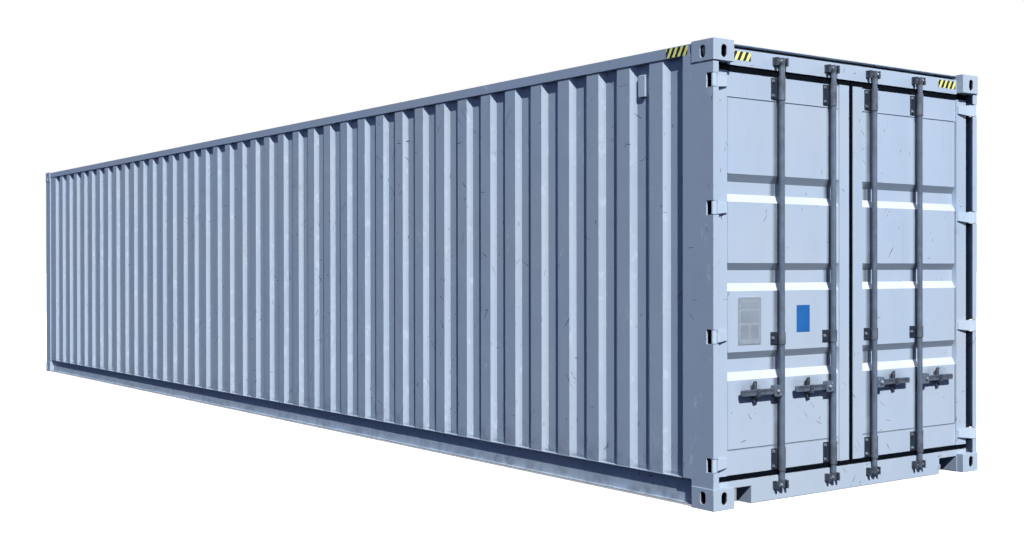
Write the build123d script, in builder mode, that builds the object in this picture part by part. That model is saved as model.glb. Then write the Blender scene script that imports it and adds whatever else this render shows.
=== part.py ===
from build123d import *
import math
import os

os.makedirs("parts", exist_ok=True)

# ---------------------------------------------------------------------------
# 40 ft dry cargo box, 8 ft 6 in high. Millimetres.
# Origin at the middle of the footprint, on the ground. +X is the door end,
# -Y is the left side seen when facing the doors, +Z is up.
# ---------------------------------------------------------------------------

# overall
LEN = 12192.0
WID = 2438.0
HGT = 2591.0
XE = LEN / 2                     # end face of the castings
YE = WID / 2                     # side face of the castings

# corner castings
CAST_X = 178.0
CAST_Y = 162.0
CAST_Z = 118.0
CAST_WALL = 16.0                 # outer walls
CAST_BACK = 12.0                 # walls that face the frame
CAST_DECK = 28.0                 # wall with the lock hole
LOCK_DX = 11985.0                # lock hole spacing along the box
LOCK_DY = 2259.0                 # lock hole spacing across the box
LOCK_LEN = 124.5
LOCK_WID = 63.5
HAND_LEN = 71.0                  # upright oval holes in side and end
HAND_WID = 43.0
HAND_IN_X = 86.5                 # side hole, from the end face
HAND_IN_Y = 79.5                 # end hole, from the side face
HAND_DECK = 65.0                 # middle of a hole, from the deck face

XC = XE - CAST_X                 # 5918, inner end of the castings
YC = YE - CAST_Y                 # 1057, inner side of the castings
ZC = HGT - CAST_Z                # 2473, underside of the top castings

# frame planes
INSET = 8.0
YP = YE - INSET                  # 1211, side face of the top rails
YS = YE - 4.0                    # 1215, side face of the posts
XP = XE - INSET                  # 6088, end face of the posts
PLATE = 11.0                     # post side plate
LAP_X = 5850.0                   # the door post's side plate runs in to here
FLANGE = 6.0

# top side rail
RAIL_W = 60.0
RAIL_T = 4.0
RAIL_Z0 = 2523.0
RAIL_Z1 = 2583.0

# bottom side rail, a channel that opens outwards
SILL_Z1 = 157.0
SILL_Z0 = 12.0
SILL_WEB = 1174.0
SILL_T = 4.5
SILL_TOP = 34.0
SILL_LIP = 30.0

# side wall corrugation, measured along the box from the door end face
SHEET = 2.0
WALL_OUT = 1206.0                # outer flats
WALL_IN = 1180.0                 # outer face of the inner flats
WAVE_FIRST = 247.5
WAVE_RUN = 40.0
WAVE_FLAT_IN = 92.5
WAVE_PITCH = 284.5
WAVE_COUNT = 41

# floor
FLOOR_Z0 = 142.0
FLOOR_Z1 = 170.0
CROSS_H = 122.0
CROSS_W = 45.0
CROSS_T = 4.5
CROSS_COUNT = 28
CROSS_PITCH = 420.0

# door end
FACE_X = 6044.0                  # face of header and sill
HEAD_Z0 = 2465.0
HEAD_Z1 = 2558.0
HEAD_TOP = 2585.0
SILL_DOOR_Z0 = 5.0
SILL_DOOR_Z1 = 142.0
RECESS_Y = 872.0
RECESS_Z = 103.0
STOP_X = 5985.0                  # outer face of the door stop on the posts

# door leaf
LEAF_X0 = 5991.0
LEAF_X1 = 6041.0                 # face of the upright members
PANEL_X = 6031.0                 # face of panel, top and bottom members
LEAF_Z0 = 174.0
LEAF_Z1 = 2432.0
MEMB_Z0 = 316.0                  # panel's lower edge
MEMB_Z1 = 2287.0                 # panel's upper edge
LEAF_Y0 = 19.0
LEAF_Y1 = 106.0
LEAF_Y2 = 1060.0
LEAF_Y3 = 1163.0
TUBE_T = 4.0
PANEL_DEPTH = 26.0
TROUGHS = ((1861.0, 1817.0, 1748.0, 1704.0),
           (1361.0, 1320.0, 1247.0, 1203.0),
           (861.0, 820.0, 748.0, 702.0))
SEAL_Y0 = 6.0
SEAL_Y3 = 1168.0
SEAL_Z0 = 147.0
SEAL_Z1 = 2460.0
SEAL_X0 = 6006.0
SEAL_X1 = 6036.0

# hinges
HINGE_X = 6078.0
HINGE_Y = 1201.0
HINGE_Z = (2365.0, 1664.0, 955.0, 248.0)
PIN_R = 7.0
KNUCKLE_R = 14.0
KNUCKLE_H = 73.0
STRAP_H = 48.0                   # strap height at its free end
STRAP_Y = 1069.0
NOTCH_X = 6034.0
NOTCH_H = 79.0
LUG_T = 10.0

# lock rods
ROD_X = 6066.0
ROD_R = 16.5
ROD_Y = (-640.0, -191.0, 191.0, 640.0)
ROD_Z0 = 70.0
ROD_Z1 = 2537.0
BORE_R = 17.0
SLEEVE_R = 21.0
WEB_W = 22.0                     # bracket web between flange and sleeve
CAM_NOSE = 27.0
CAM_H = 30.0
CAM_Z = (75.0, 2503.0)           # lower end of the bottom and top cam
KEEP_GAP = 32.0                  # rod axis to a keeper lug
KEEP_W = 16.0
KEEP_H = 46.0
KEEP_Z = (65.0, 2492.0)
KEEP_X = 6079.0

# handles
HAND_Z = 630.0                   # middle of the bar
HAND_H = 34.0
HAND_X0 = 6060.0
HAND_T = 14.0
HUB_PIN = 50.0                   # rod axis to the handle's pivot
HUB_END = 77.0
HUB_Y0 = 14.0
HAND_END = 335.0
CATCH_D = 206.0                  # rod axis to the catch
CATCH_X0 = 6046.0
CATCH_W = 24.0


def rect(x0, x1, y0, y1):
    """Corner points of a rectangle, in order."""
    return [(x0, y0), (x1, y0), (x1, y1), (x0, y1)]


# ---------------------------------------------------------------------------
# Corner castings: hollow blocks with a lock hole in the deck and an upright
# oval hole in the side and the end.
# ---------------------------------------------------------------------------
for level, z0, up in (("bottom", 0.0, 1), ("top", ZC, -1)):
    deck = z0 if up == 1 else z0 + CAST_Z
    cav_z0 = z0 + CAST_DECK if up == 1 else z0 + CAST_BACK
    cav_h = CAST_Z - CAST_DECK - CAST_BACK
    with BuildPart() as castings:
        for sx in (-1, 1):
            for sy in (-1, 1):
                with BuildSketch(Plane.XY.offset(z0)):
                    with Locations((sx * (XE - CAST_X / 2), sy * (YE - CAST_Y / 2))):
                        RectangleRounded(CAST_X, CAST_Y, 6)
        extrude(amount=CAST_Z)
        for sx in (-1, 1):
            for sy in (-1, 1):
                cx = sx * (XE - CAST_WALL - (CAST_X - CAST_WALL - CAST_BACK) / 2)
                cy = sy * (YE - CAST_WALL - (CAST_Y - CAST_WALL - CAST_BACK) / 2)
                with BuildSketch(Plane.XY.offset(cav_z0)):
                    with Locations((cx, cy)):
                        RectangleRounded(CAST_X - CAST_WALL - CAST_BACK,
                                         CAST_Y - CAST_WALL - CAST_BACK, 12)
        extrude(amount=cav_h, mode=Mode.SUBTRACT)
        for sx in (-1, 1):
            for sy in (-1, 1):
                with BuildSketch(Plane.XY.offset(deck)):
                    with Locations((sx * LOCK_DX / 2, sy * LOCK_DY / 2)):
                        SlotOverall(LOCK_LEN, LOCK_WID)
        extrude(amount=up * (CAST_DECK + 2), mode=Mode.SUBTRACT)
        for sx in (-1, 1):
            for sy in (-1, 1):
                side = Plane(origin=(sx * (XE - HAND_IN_X), sy * YE, deck + up * HAND_DECK),
                             x_dir=(0, 0, 1), z_dir=(0, -sy, 0))
                with BuildSketch(side):
                    SlotOverall(HAND_LEN, HAND_WID)
        extrude(amount=CAST_WALL + 2, mode=Mode.SUBTRACT)
        for sx in (-1, 1):
            for sy in (-1, 1):
                end = Plane(origin=(sx * XE, sy * (YE - HAND_IN_Y), deck + up * HAND_DECK),
                            x_dir=(0, 0, 1), z_dir=(-sx, 0, 0))
                with BuildSketch(end):
                    SlotOverall(HAND_LEN, HAND_WID)
        extrude(amount=CAST_WALL + 2, mode=Mode.SUBTRACT)
    castings.part.label = f"corner_castings_{level}"
    export_step(castings.part, f"parts/corner_castings_{level}.step")

# ---------------------------------------------------------------------------
# Posts
# ---------------------------------------------------------------------------
for name, s in (("left", -1), ("right", 1)):
    # door post: side plate, front flange, door stop, inner flange; notched at
    # the hinges
    with BuildPart() as door_post:
        with BuildSketch(Plane.XY.offset(CAST_Z)):
            outline = [(XC, YS - PLATE), (XC, YS), (XP, YS), (XP, 1173.0), (XP - FLANGE, 1173.0),
                       (XP - FLANGE, YS - PLATE),
                       (STOP_X, YS - PLATE), (STOP_X, 1130.0), (XC, 1130.0), (XC, 1142.0),
                       (STOP_X - 12, 1142.0), (STOP_X - 12, YS - PLATE)]
            Polygon(*[(x, s * y) for x, y in outline], align=None)
        extrude(amount=ZC - CAST_Z)
        # the side plate's inner edge, between the rails
        with BuildSketch(Plane.XY.offset(SILL_Z1)):
            Polygon(*[(x, s * y) for x, y in rect(LAP_X, XC, YS - PLATE, YS)], align=None)
        extrude(amount=RAIL_Z0 - SILL_Z1)
        for zc in HINGE_Z:
            with BuildSketch(Plane.XY.offset(zc - NOTCH_H / 2)):
                Polygon(*[(x, s * y) for x, y in rect(NOTCH_X, XP + 5, 1165.0, YS + 5)], align=None)
            extrude(amount=NOTCH_H, mode=Mode.SUBTRACT)
    door_post.part.label = f"door_post_{name}"
    export_step(door_post.part, f"parts/door_post_{name}.step")

    # front post: one pressed section with returns
    with BuildPart() as front_post:
        with BuildSketch(Plane.XY.offset(CAST_Z)):
            outline = [(-XC, YS), (-XP, YS), (-XP, YC), (-XP + 40, YC), (-XP + 40, YC + FLANGE),
                       (-XP + FLANGE, YC + FLANGE), (-XP + FLANGE, YS - PLATE),
                       (-XC - FLANGE, YS - PLATE), (-XC - FLANGE, 1168.0), (-XC, 1168.0)]
            Polygon(*[(x, s * y) for x, y in outline], align=None)
        extrude(amount=ZC - CAST_Z)
    front_post.part.label = f"front_post_{name}"
    export_step(front_post.part, f"parts/front_post_{name}.step")

    # top side rail: rectangular tube
    with BuildPart() as top_rail:
        with BuildSketch(Plane.YZ.offset(-XC)):
            Polygon(*[(s * y, z) for y, z in rect(YP - RAIL_W, YP, RAIL_Z0, RAIL_Z1)], align=None)
            Polygon(*[(s * y, z) for y, z in rect(YP - RAIL_W + RAIL_T, YP - RAIL_T,
                                                  RAIL_Z0 + RAIL_T, RAIL_Z1 - RAIL_T)],
                    align=None, mode=Mode.SUBTRACT)
        extrude(amount=2 * XC)
    top_rail.part.label = f"top_side_rail_{name}"
    export_step(top_rail.part, f"parts/top_side_rail_{name}.step")

    # bottom side rail: channel, top flange under the wall, lip at the foot
    with BuildPart() as bottom_rail:
        with BuildSketch(Plane.YZ.offset(-XC)):
            y0 = SILL_WEB - SILL_T
            outline = [(y0, SILL_Z0), (SILL_WEB + SILL_LIP, SILL_Z0),
                       (SILL_WEB + SILL_LIP, SILL_Z0 + SILL_T), (SILL_WEB, SILL_Z0 + SILL_T),
                       (SILL_WEB, SILL_Z1 - SILL_T), (SILL_WEB + SILL_TOP, SILL_Z1 - SILL_T),
                       (SILL_WEB + SILL_TOP, SILL_Z1), (y0, SILL_Z1)]
            Polygon(*[(s * y, z) for y, z in outline], align=None)
        extrude(amount=2 * XC)
    bottom_rail.part.label = f"bottom_side_rail_{name}"
    export_step(bottom_rail.part, f"parts/bottom_side_rail_{name}.step")

    # side wall: one corrugated sheet
    depth = WALL_OUT - WALL_IN
    mitre = SHEET * math.tan(math.atan2(depth, WAVE_RUN) / 2)
    outer = [(XE - LAP_X, WALL_OUT)]
    inner = [(XE - LAP_X, WALL_OUT - SHEET)]
    for k in range(WAVE_COUNT):
        t0 = WAVE_FIRST + WAVE_PITCH * k
        t1 = t0 + WAVE_RUN
        t2 = t1 + WAVE_FLAT_IN
        t3 = t2 + WAVE_RUN
        outer += [(t0, WALL_OUT), (t1, WALL_IN), (t2, WALL_IN), (t3, WALL_OUT)]
        inner += [(t0 - mitre, WALL_OUT - SHEET), (t1 - mitre, WALL_IN - SHEET),
                  (t2 + mitre, WALL_IN - SHEET), (t3 + mitre, WALL_OUT - SHEET)]
    outer.append((LEN - CAST_X, WALL_OUT))
    inner.append((LEN - CAST_X, WALL_OUT - SHEET))
    with BuildPart() as side_wall:
        with BuildSketch(Plane.XY.offset(SILL_Z1)):
            Polygon(*[(XE - t, s * y) for t, y in outer + inner[::-1]], align=None)
        extrude(amount=RAIL_Z0 - SILL_Z1)
    side_wall.part.label = f"side_wall_{name}"
    export_step(side_wall.part, f"parts/side_wall_{name}.step")

# ---------------------------------------------------------------------------
# Front end: header, sill and corrugated wall
# ---------------------------------------------------------------------------
FW_Z0, FW_Z1 = SILL_Z1, 2500.0
with BuildPart() as front_header:
    with BuildSketch(Plane.XZ.offset(-YC)):
        Polygon(*rect(-XP, -XP + 62, FW_Z1, HEAD_TOP), align=None)
        Polygon(*rect(-XP + 4, -XP + 58, FW_Z1 + 4, HEAD_TOP - 4), align=None, mode=Mode.SUBTRACT)
    extrude(amount=2 * YC)
    with BuildSketch(Plane.XZ.offset(-YC)):
        Polygon(*rect(-XP + 62, -XC, HEAD_TOP - 4, HEAD_TOP), align=None)
    extrude(amount=2 * YC)
front_header.part.label = "front_header"
export_step(front_header.part, "parts/front_header.step")

with BuildPart() as front_sill:
    with BuildSketch(Plane.XZ.offset(-YC)):
        outline = [(-XP, SILL_Z0), (-XP + 60, SILL_Z0), (-XP + 60, SILL_Z0 + 5), (-XP + 5, SILL_Z0 + 5),
                   (-XP + 5, SILL_Z1 - 5), (-XP + 58, SILL_Z1 - 5), (-XP + 58, SILL_Z1), (-XP, SILL_Z1)]
        Polygon(*outline, align=None)
    extrude(amount=2 * YC)
front_sill.part.label = "front_sill"
export_step(front_sill.part, "parts/front_sill.step")

FW_PITCH, FW_RUN, FW_DEPTH, FW_COUNT = 250.0, 34.0, 40.0, 8
fw_out, fw_in = -XP + 2.0, -XP + 2.0 + FW_DEPTH
fw_mitre = SHEET * math.tan(math.atan2(FW_DEPTH, FW_RUN) / 2)
outer = [(-YC, fw_out)]
inner = [(-YC, fw_out + SHEET)]
for k in range(FW_COUNT):
    c = (k - (FW_COUNT - 1) / 2) * FW_PITCH
    a0, a1, a2, a3 = c - 71.0, c - 71.0 + FW_RUN, c + 71.0 - FW_RUN, c + 71.0
    outer += [(a0, fw_out), (a1, fw_in), (a2, fw_in), (a3, fw_out)]
    inner += [(a0 - fw_mitre, fw_out + SHEET), (a1 - fw_mitre, fw_in + SHEET),
              (a2 + fw_mitre, fw_in + SHEET), (a3 + fw_mitre, fw_out + SHEET)]
outer.append((YC, fw_out))
inner.append((YC, fw_out + SHEET))
with BuildPart() as front_wall:
    with BuildSketch(Plane.XY.offset(FW_Z0)):
        Polygon(*[(x, y) for y, x in outer + inner[::-1]], align=None)
    extrude(amount=FW_Z1 - FW_Z0)
front_wall.part.label = "front_wall"
export_step(front_wall.part, "parts/front_wall.step")

# ---------------------------------------------------------------------------
# Door end: header and sill
# ---------------------------------------------------------------------------
HEAD_BACK = 5930.0
with BuildPart() as door_header:
    with BuildSketch(Plane.XZ.offset(-YC)):
        Polygon(*rect(HEAD_BACK, FACE_X, HEAD_Z0, HEAD_Z1), align=None)
        Polygon(*rect(HEAD_BACK, 6006.0, HEAD_Z1, HEAD_TOP - 4), align=None)
        Polygon(*rect(XC, FACE_X, HEAD_TOP - 4, HEAD_TOP), align=None)
        Polygon(*rect(HEAD_BACK + 5, FACE_X - 5, ZC, HEAD_Z1 - 5), align=None, mode=Mode.SUBTRACT)
        Polygon(*rect(HEAD_BACK + 5, 6001.0, HEAD_Z1, HEAD_TOP - 4), align=None, mode=Mode.SUBTRACT)
    extrude(amount=2 * YC)
    for s in (-1, 1):
        with BuildSketch(Plane.XY.offset(HEAD_Z0)):
            Polygon(*[(x, s * y) for x, y in rect(STOP_X, STOP_X + 6, YC, 1173.0)], align=None)
        extrude(amount=ZC - HEAD_Z0)
door_header.part.label = "door_header"
export_step(door_header.part, "parts/door_header.step")

with BuildPart() as door_sill:
    with BuildSketch(Plane.XZ.offset(-YC)):
        Polygon(*rect(HEAD_BACK, FACE_X, SILL_DOOR_Z0, SILL_DOOR_Z1), align=None)
    extrude(amount=2 * YC)
    with BuildSketch(Plane.XZ.offset(-YC)):
        Polygon(*rect(HEAD_BACK + 6, FACE_X - 6, SILL_DOOR_Z0 + 6, SILL_DOOR_Z1 - 6), align=None)
    extrude(amount=2 * YC, mode=Mode.SUBTRACT)
    for s in (-1, 1):
        # the end of the box section is open to the back over this length: cut
        # it away, then close it with a wall at the inner end, a plate beside
        # the casting and a cover
        with BuildSketch(Plane.XY.offset(SILL_DOOR_Z0 - 1)):
            Polygon(*[(x, s * y) for x, y in rect(HEAD_BACK - 5, FACE_X + 5, RECESS_Y, YC)], align=None)
        extrude(amount=RECESS_Z - SILL_DOOR_Z0 + 1, mode=Mode.SUBTRACT)
        with BuildSketch(Plane.XY.offset(SILL_DOOR_Z0)):
            Polygon(*[(x, s * y) for x, y in rect(HEAD_BACK, FACE_X, RECESS_Y - 6, RECESS_Y)], align=None)
            Polygon(*[(x, s * y) for x, y in rect(HEAD_BACK, FACE_X + 4, YC - 6, YC)], align=None)
        extrude(amount=RECESS_Z - SILL_DOOR_Z0)
        with BuildSketch(Plane.XY.offset(RECESS_Z)):
            Polygon(*[(x, s * y) for x, y in rect(HEAD_BACK, FACE_X, RECESS_Y - 6, YC)], align=None)
        extrude(amount=6)
        # shelf over the casting
        with BuildSketch(Plane.XY.offset(CAST_Z)):
            Polygon(*[(x, s * y) for x, y in rect(FACE_X - 6, FACE_X, YC, 1173.0)], align=None)
        extrude(amount=SILL_DOOR_Z1 - CAST_Z)
        with BuildSketch(Plane.XY.offset(SILL_DOOR_Z1 - 6)):
            Polygon(*[(x, s * y) for x, y in rect(STOP_X, FACE_X, YC, 1173.0)], align=None)
        extrude(amount=6)
door_sill.part.label = "door_sill"
export_step(door_sill.part, "parts/door_sill.step")

# ---------------------------------------------------------------------------
# Roof: pressed sheet with shallow pans across the box
# ---------------------------------------------------------------------------
PAN_PITCH, PAN_COUNT = 209.0, 56
PAN_A, PAN_B = 59.0, 1090.0      # half sizes of a pan's mouth
PAN_RUN, PAN_DEPTH = 14.0, 20.0
ROOF_T = 2.0
roof_z = RAIL_Z1                 # underside of the flat sheet
phi = math.atan2(PAN_DEPTH, PAN_RUN)
grow = ROOF_T / math.sin(phi) - PAN_RUN * ROOF_T / PAN_DEPTH
shrink = PAN_RUN - ROOF_T * math.tan(phi / 2)
with BuildPart() as pan_body:
    with BuildSketch(Plane.XY.offset(roof_z)):
        Rectangle(2 * (PAN_A + grow), 2 * (PAN_B + grow))
    with BuildSketch(Plane.XY.offset(roof_z - PAN_DEPTH)):
        Rectangle(2 * (PAN_A - shrink), 2 * (PAN_B - shrink))
    loft()
with BuildPart() as pan_hollow:
    with BuildSketch(Plane.XY.offset(roof_z + ROOF_T)):
        Rectangle(2 * PAN_A, 2 * PAN_B)
    with BuildSketch(Plane.XY.offset(roof_z + ROOF_T - PAN_DEPTH)):
        Rectangle(2 * (PAN_A - PAN_RUN), 2 * (PAN_B - PAN_RUN))
    loft()
with BuildPart() as roof:
    with BuildSketch(Plane.XY.offset(roof_z)):
        Rectangle(2 * XC, 2 * (YP - 8))
    extrude(amount=ROOF_T)
    with GridLocations(PAN_PITCH, 0, PAN_COUNT, 1):
        add(pan_body.part)
    with GridLocations(PAN_PITCH, 0, PAN_COUNT, 1):
        add(pan_hollow.part, mode=Mode.SUBTRACT)
roof.part.label = "roof"
export_step(roof.part, "parts/roof.step")

# ---------------------------------------------------------------------------
# Floor and cross members
# ---------------------------------------------------------------------------
FLOOR_Y = SILL_WEB - SILL_T
with BuildPart() as floor_boards:
    with BuildSketch(Plane.XY.offset(FLOOR_Z0)):
        Polygon((-XP + 58, -FLOOR_Y), (XC, -FLOOR_Y), (XC, -1130), (STOP_X - 5, -1130),
                (STOP_X - 5, 1130), (XC, 1130), (XC, FLOOR_Y), (-XP + 58, FLOOR_Y), align=None)
    extrude(amount=FLOOR_Z1 - FLOOR_Z0)
    # keep clear of the front posts
    with BuildSketch(Plane.XY.offset(FLOOR_Z0)):
        for s in (-1, 1):
            Polygon(*[(x, s * y) for x, y in rect(-XE, -XC, 1168.0, YE)], align=None)
    extrude(amount=FLOOR_Z1 - FLOOR_Z0, mode=Mode.SUBTRACT)
floor_boards.part.label = "floor_boards"
export_step(floor_boards.part, "parts/floor_boards.step")

with BuildPart() as cross_members:
    with BuildSketch(Plane.XZ.offset(-FLOOR_Y)):
        z0 = FLOOR_Z0 - CROSS_H
        for k in range(CROSS_COUNT):
            x = (k - (CROSS_COUNT - 1) / 2) * CROSS_PITCH
            Polygon((x, z0), (x + CROSS_W, z0), (x + CROSS_W, z0 + CROSS_T), (x + CROSS_T, z0 + CROSS_T),
                    (x + CROSS_T, FLOOR_Z0 - CROSS_T), (x + CROSS_W, FLOOR_Z0 - CROSS_T),
                    (x + CROSS_W, FLOOR_Z0), (x, FLOOR_Z0), align=None)
    extrude(amount=2 * FLOOR_Y)
cross_members.part.label = "cross_members"
export_step(cross_members.part, "parts/cross_members.step")

# ---------------------------------------------------------------------------
# Hinges: lugs with pins on the posts
# ---------------------------------------------------------------------------
with BuildPart() as hinge_lugs:
    for s in (-1, 1):
        for zc in HINGE_Z:
            # lugs inside the hollow of the post, above and below the notch
            for z in (zc - NOTCH_H / 2 - LUG_T, zc + NOTCH_H / 2):
                with BuildSketch(Plane.XY.offset(z)):
                    Polygon(*[(x, s * y) for x, y in rect(NOTCH_X, XP - FLANGE, 1179.0, YS - PLATE)],
                            align=None)
                extrude(amount=LUG_T)
            with BuildSketch(Plane.XY.offset(zc - NOTCH_H / 2)):
                with Locations((HINGE_X, s * HINGE_Y)):
                    Circle(PIN_R)
            extrude(amount=NOTCH_H)
hinge_lugs.part.label = "hinge_lugs"
export_step(hinge_lugs.part, "parts/hinge_lugs.step")

# ---------------------------------------------------------------------------
# Cam keepers: two lugs each side of every rod end
# ---------------------------------------------------------------------------
for level, z0 in (("bottom", KEEP_Z[0]), ("top", KEEP_Z[1])):
    with BuildPart() as keepers:
        with BuildSketch(Plane.XY.offset(z0)):
            for yr in ROD_Y:
                for q in (-1, 1):
                    a, b = yr + q * KEEP_GAP, yr + q * (KEEP_GAP + KEEP_W)
                    c = yr + q * (KEEP_GAP + KEEP_W + 7)
                    Polygon((FACE_X, a), (KEEP_X - 3, a), (KEEP_X, a + q * 3), (KEEP_X, b - q * 6),
                            (KEEP_X - 6, b), (FACE_X + 7, b), (FACE_X + 5, c), (FACE_X, c), align=None)
        extrude(amount=KEEP_H)
    keepers.part.label = f"cam_keepers_{level}"
    export_step(keepers.part, f"parts/cam_keepers_{level}.step")

# ---------------------------------------------------------------------------
# Side vents: small hoods in a trough near each end
# ---------------------------------------------------------------------------
VENT_W, VENT_D, VENT_Z0, VENT_Z1 = 56.0, 17.0, 2334.0, 2465.0
VENT_SHIFT = 8.0                 # from the middle of the trough, towards the door
with BuildPart() as side_vents:
    for s, k in ((-1, 1), (1, 39)):
        xc = XE - (WAVE_FIRST + WAVE_PITCH * k + WAVE_RUN + WAVE_FLAT_IN / 2) + VENT_SHIFT
        with BuildSketch(Plane.YZ.offset(xc - VENT_W / 2)):
            Polygon((s * WALL_IN, VENT_Z0), (s * (WALL_IN + VENT_D), VENT_Z0),
                    (s * (WALL_IN + VENT_D), VENT_Z1 - 8), (s * WALL_IN, VENT_Z1), align=None)
            Polygon((s * (WALL_IN + 2), VENT_Z0 - 1), (s * (WALL_IN + VENT_D - 2), VENT_Z0 - 1),
                    (s * (WALL_IN + VENT_D - 2), VENT_Z1 - 12), (s * (WALL_IN + 2), VENT_Z1 - 12),
                    align=None, mode=Mode.SUBTRACT)
        extrude(amount=VENT_W)
        for x0 in (xc - VENT_W / 2, xc + VENT_W / 2 - 2):
            with BuildSketch(Plane.YZ.offset(x0)):
                Polygon((s * WALL_IN, VENT_Z0), (s * (WALL_IN + VENT_D), VENT_Z0),
                        (s * (WALL_IN + VENT_D), VENT_Z1 - 8), (s * WALL_IN, VENT_Z1), align=None)
            extrude(amount=2)
side_vents.part.label = "side_vents"
export_step(side_vents.part, "parts/side_vents.step")

# ---------------------------------------------------------------------------
# Door leaves
# ---------------------------------------------------------------------------
for name, s in (("left", -1), ("right", 1)):
    # welded frame: two upright tubes, channels at top and bottom
    with BuildPart() as door_frame:
        with BuildSketch(Plane.XY.offset(LEAF_Z0)):
            for y0, y1 in ((LEAF_Y0, LEAF_Y1), (LEAF_Y2, LEAF_Y3)):
                Polygon(*[(x, s * y) for x, y in rect(LEAF_X0, LEAF_X1, y0, y1)], align=None)
                Polygon(*[(x, s * y) for x, y in rect(LEAF_X0 + TUBE_T, LEAF_X1 - TUBE_T,
                                                      y0 + TUBE_T, y1 - TUBE_T)],
                        align=None, mode=Mode.SUBTRACT)
        extrude(amount=LEAF_Z1 - LEAF_Z0)
        for z0, z1 in ((LEAF_Z0, MEMB_Z0), (MEMB_Z1, LEAF_Z1)):
            y_start = LEAF_Y1 if s == 1 else -LEAF_Y2
            with BuildSketch(Plane.XZ.offset(-(LEAF_Y2 if s == 1 else -LEAF_Y1))):
                Polygon((LEAF_X0, z0), (PANEL_X, z0), (PANEL_X, z1), (LEAF_X0, z1),
                        (LEAF_X0, z1 - TUBE_T), (PANEL_X - TUBE_T, z1 - TUBE_T),
                        (PANEL_X - TUBE_T, z0 + TUBE_T), (LEAF_X0, z0 + TUBE_T), align=None)
            extrude(amount=LEAF_Y2 - LEAF_Y1)
    door_frame.part.label = f"door_frame_{name}"
    export_step(door_frame.part, f"parts/door_frame_{name}.step")

    # pressed panel with three level troughs
    outer = [(PANEL_X, MEMB_Z1)]
    inner = [(PANEL_X - SHEET, MEMB_Z1)]
    for z3, z2, z1, z0 in TROUGHS:
        m = SHEET * math.tan(math.atan2(PANEL_DEPTH, z3 - z2) / 2)
        outer += [(PANEL_X, z3), (PANEL_X - PANEL_DEPTH, z2), (PANEL_X - PANEL_DEPTH, z1), (PANEL_X, z0)]
        inner += [(PANEL_X - SHEET, z3 + m), (PANEL_X - PANEL_DEPTH - SHEET, z2 + m),
                  (PANEL_X - PANEL_DEPTH - SHEET, z1 - m), (PANEL_X - SHEET, z0 - m)]
    outer.append((PANEL_X, MEMB_Z0))
    inner.append((PANEL_X - SHEET, MEMB_Z0))
    with BuildPart() as door_panel:
        with BuildSketch(Plane.XZ.offset(-(LEAF_Y2 if s == 1 else -LEAF_Y1))):
            Polygon(*(outer + inner[::-1]), align=None)
        extrude(amount=LEAF_Y2 - LEAF_Y1)
    door_panel.part.label = f"door_panel_{name}"
    export_step(door_panel.part, f"parts/door_panel_{name}.step")

    # rubber seal all round the leaf
    with BuildPart() as door_gasket:
        with BuildSketch(Plane.YZ.offset(SEAL_X0)):
            Polygon(*[(s * y, z) for y, z in rect(SEAL_Y0, SEAL_Y3, SEAL_Z0, SEAL_Z1)], align=None)
            Polygon(*[(s * y, z) for y, z in rect(LEAF_Y0, LEAF_Y3, LEAF_Z0, LEAF_Z1)],
                    align=None, mode=Mode.SUBTRACT)
        extrude(amount=SEAL_X1 - SEAL_X0)
    door_gasket.part.label = f"door_gasket_{name}"
    export_step(door_gasket.part, f"parts/door_gasket_{name}.step")

    # hinge blades: knuckle on the pin and a slanted, tapered strap that stands
    # clear of the leaf down to its foot
    with BuildPart() as hinge_blades:
        for zc in HINGE_Z:
            with BuildSketch(Plane.XY.offset(zc - KNUCKLE_H / 2)):
                Polygon(*[(x, s * y) for x, y in
                          ((6088.0, 1198.0), (6086.0, 1188.0), (6070.0, 1163.0), (6063.5, 1156.0),
                           (6050.5, STRAP_Y), (LEAF_X1, STRAP_Y), (LEAF_X1, 1081.0), (6043.0, 1083.0),
                           (6054.0, 1158.0), (6061.0, 1166.0), (6073.0, 1189.0))], align=None)
                with Locations((HINGE_X, s * HINGE_Y)):
                    Circle(KNUCKLE_R)
            extrude(amount=KNUCKLE_H)
            # taper the strap towards its free end
            for q in (-1, 1):
                with BuildSketch(Plane.YZ.offset(LEAF_X1 - 1)):
                    Polygon((s * 1180.0, zc + q * KNUCKLE_H / 2), (s * (STRAP_Y - 1), zc + q * STRAP_H / 2),
                            (s * (STRAP_Y - 1), zc + q * (KNUCKLE_H / 2 + 2)),
                            (s * 1180.0, zc + q * (KNUCKLE_H / 2 + 2)), align=None)
                extrude(amount=60, mode=Mode.SUBTRACT)
            with BuildSketch(Plane.XY.offset(zc - KNUCKLE_H / 2 - 1)):
                with Locations((HINGE_X, s * HINGE_Y)):
                    Circle(PIN_R + 0.06)
            extrude(amount=KNUCKLE_H + 2, mode=Mode.SUBTRACT)
    hinge_blades.part.label = f"hinge_blades_{name}"
    export_step(hinge_blades.part, f"parts/hinge_blades_{name}.step")

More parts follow.
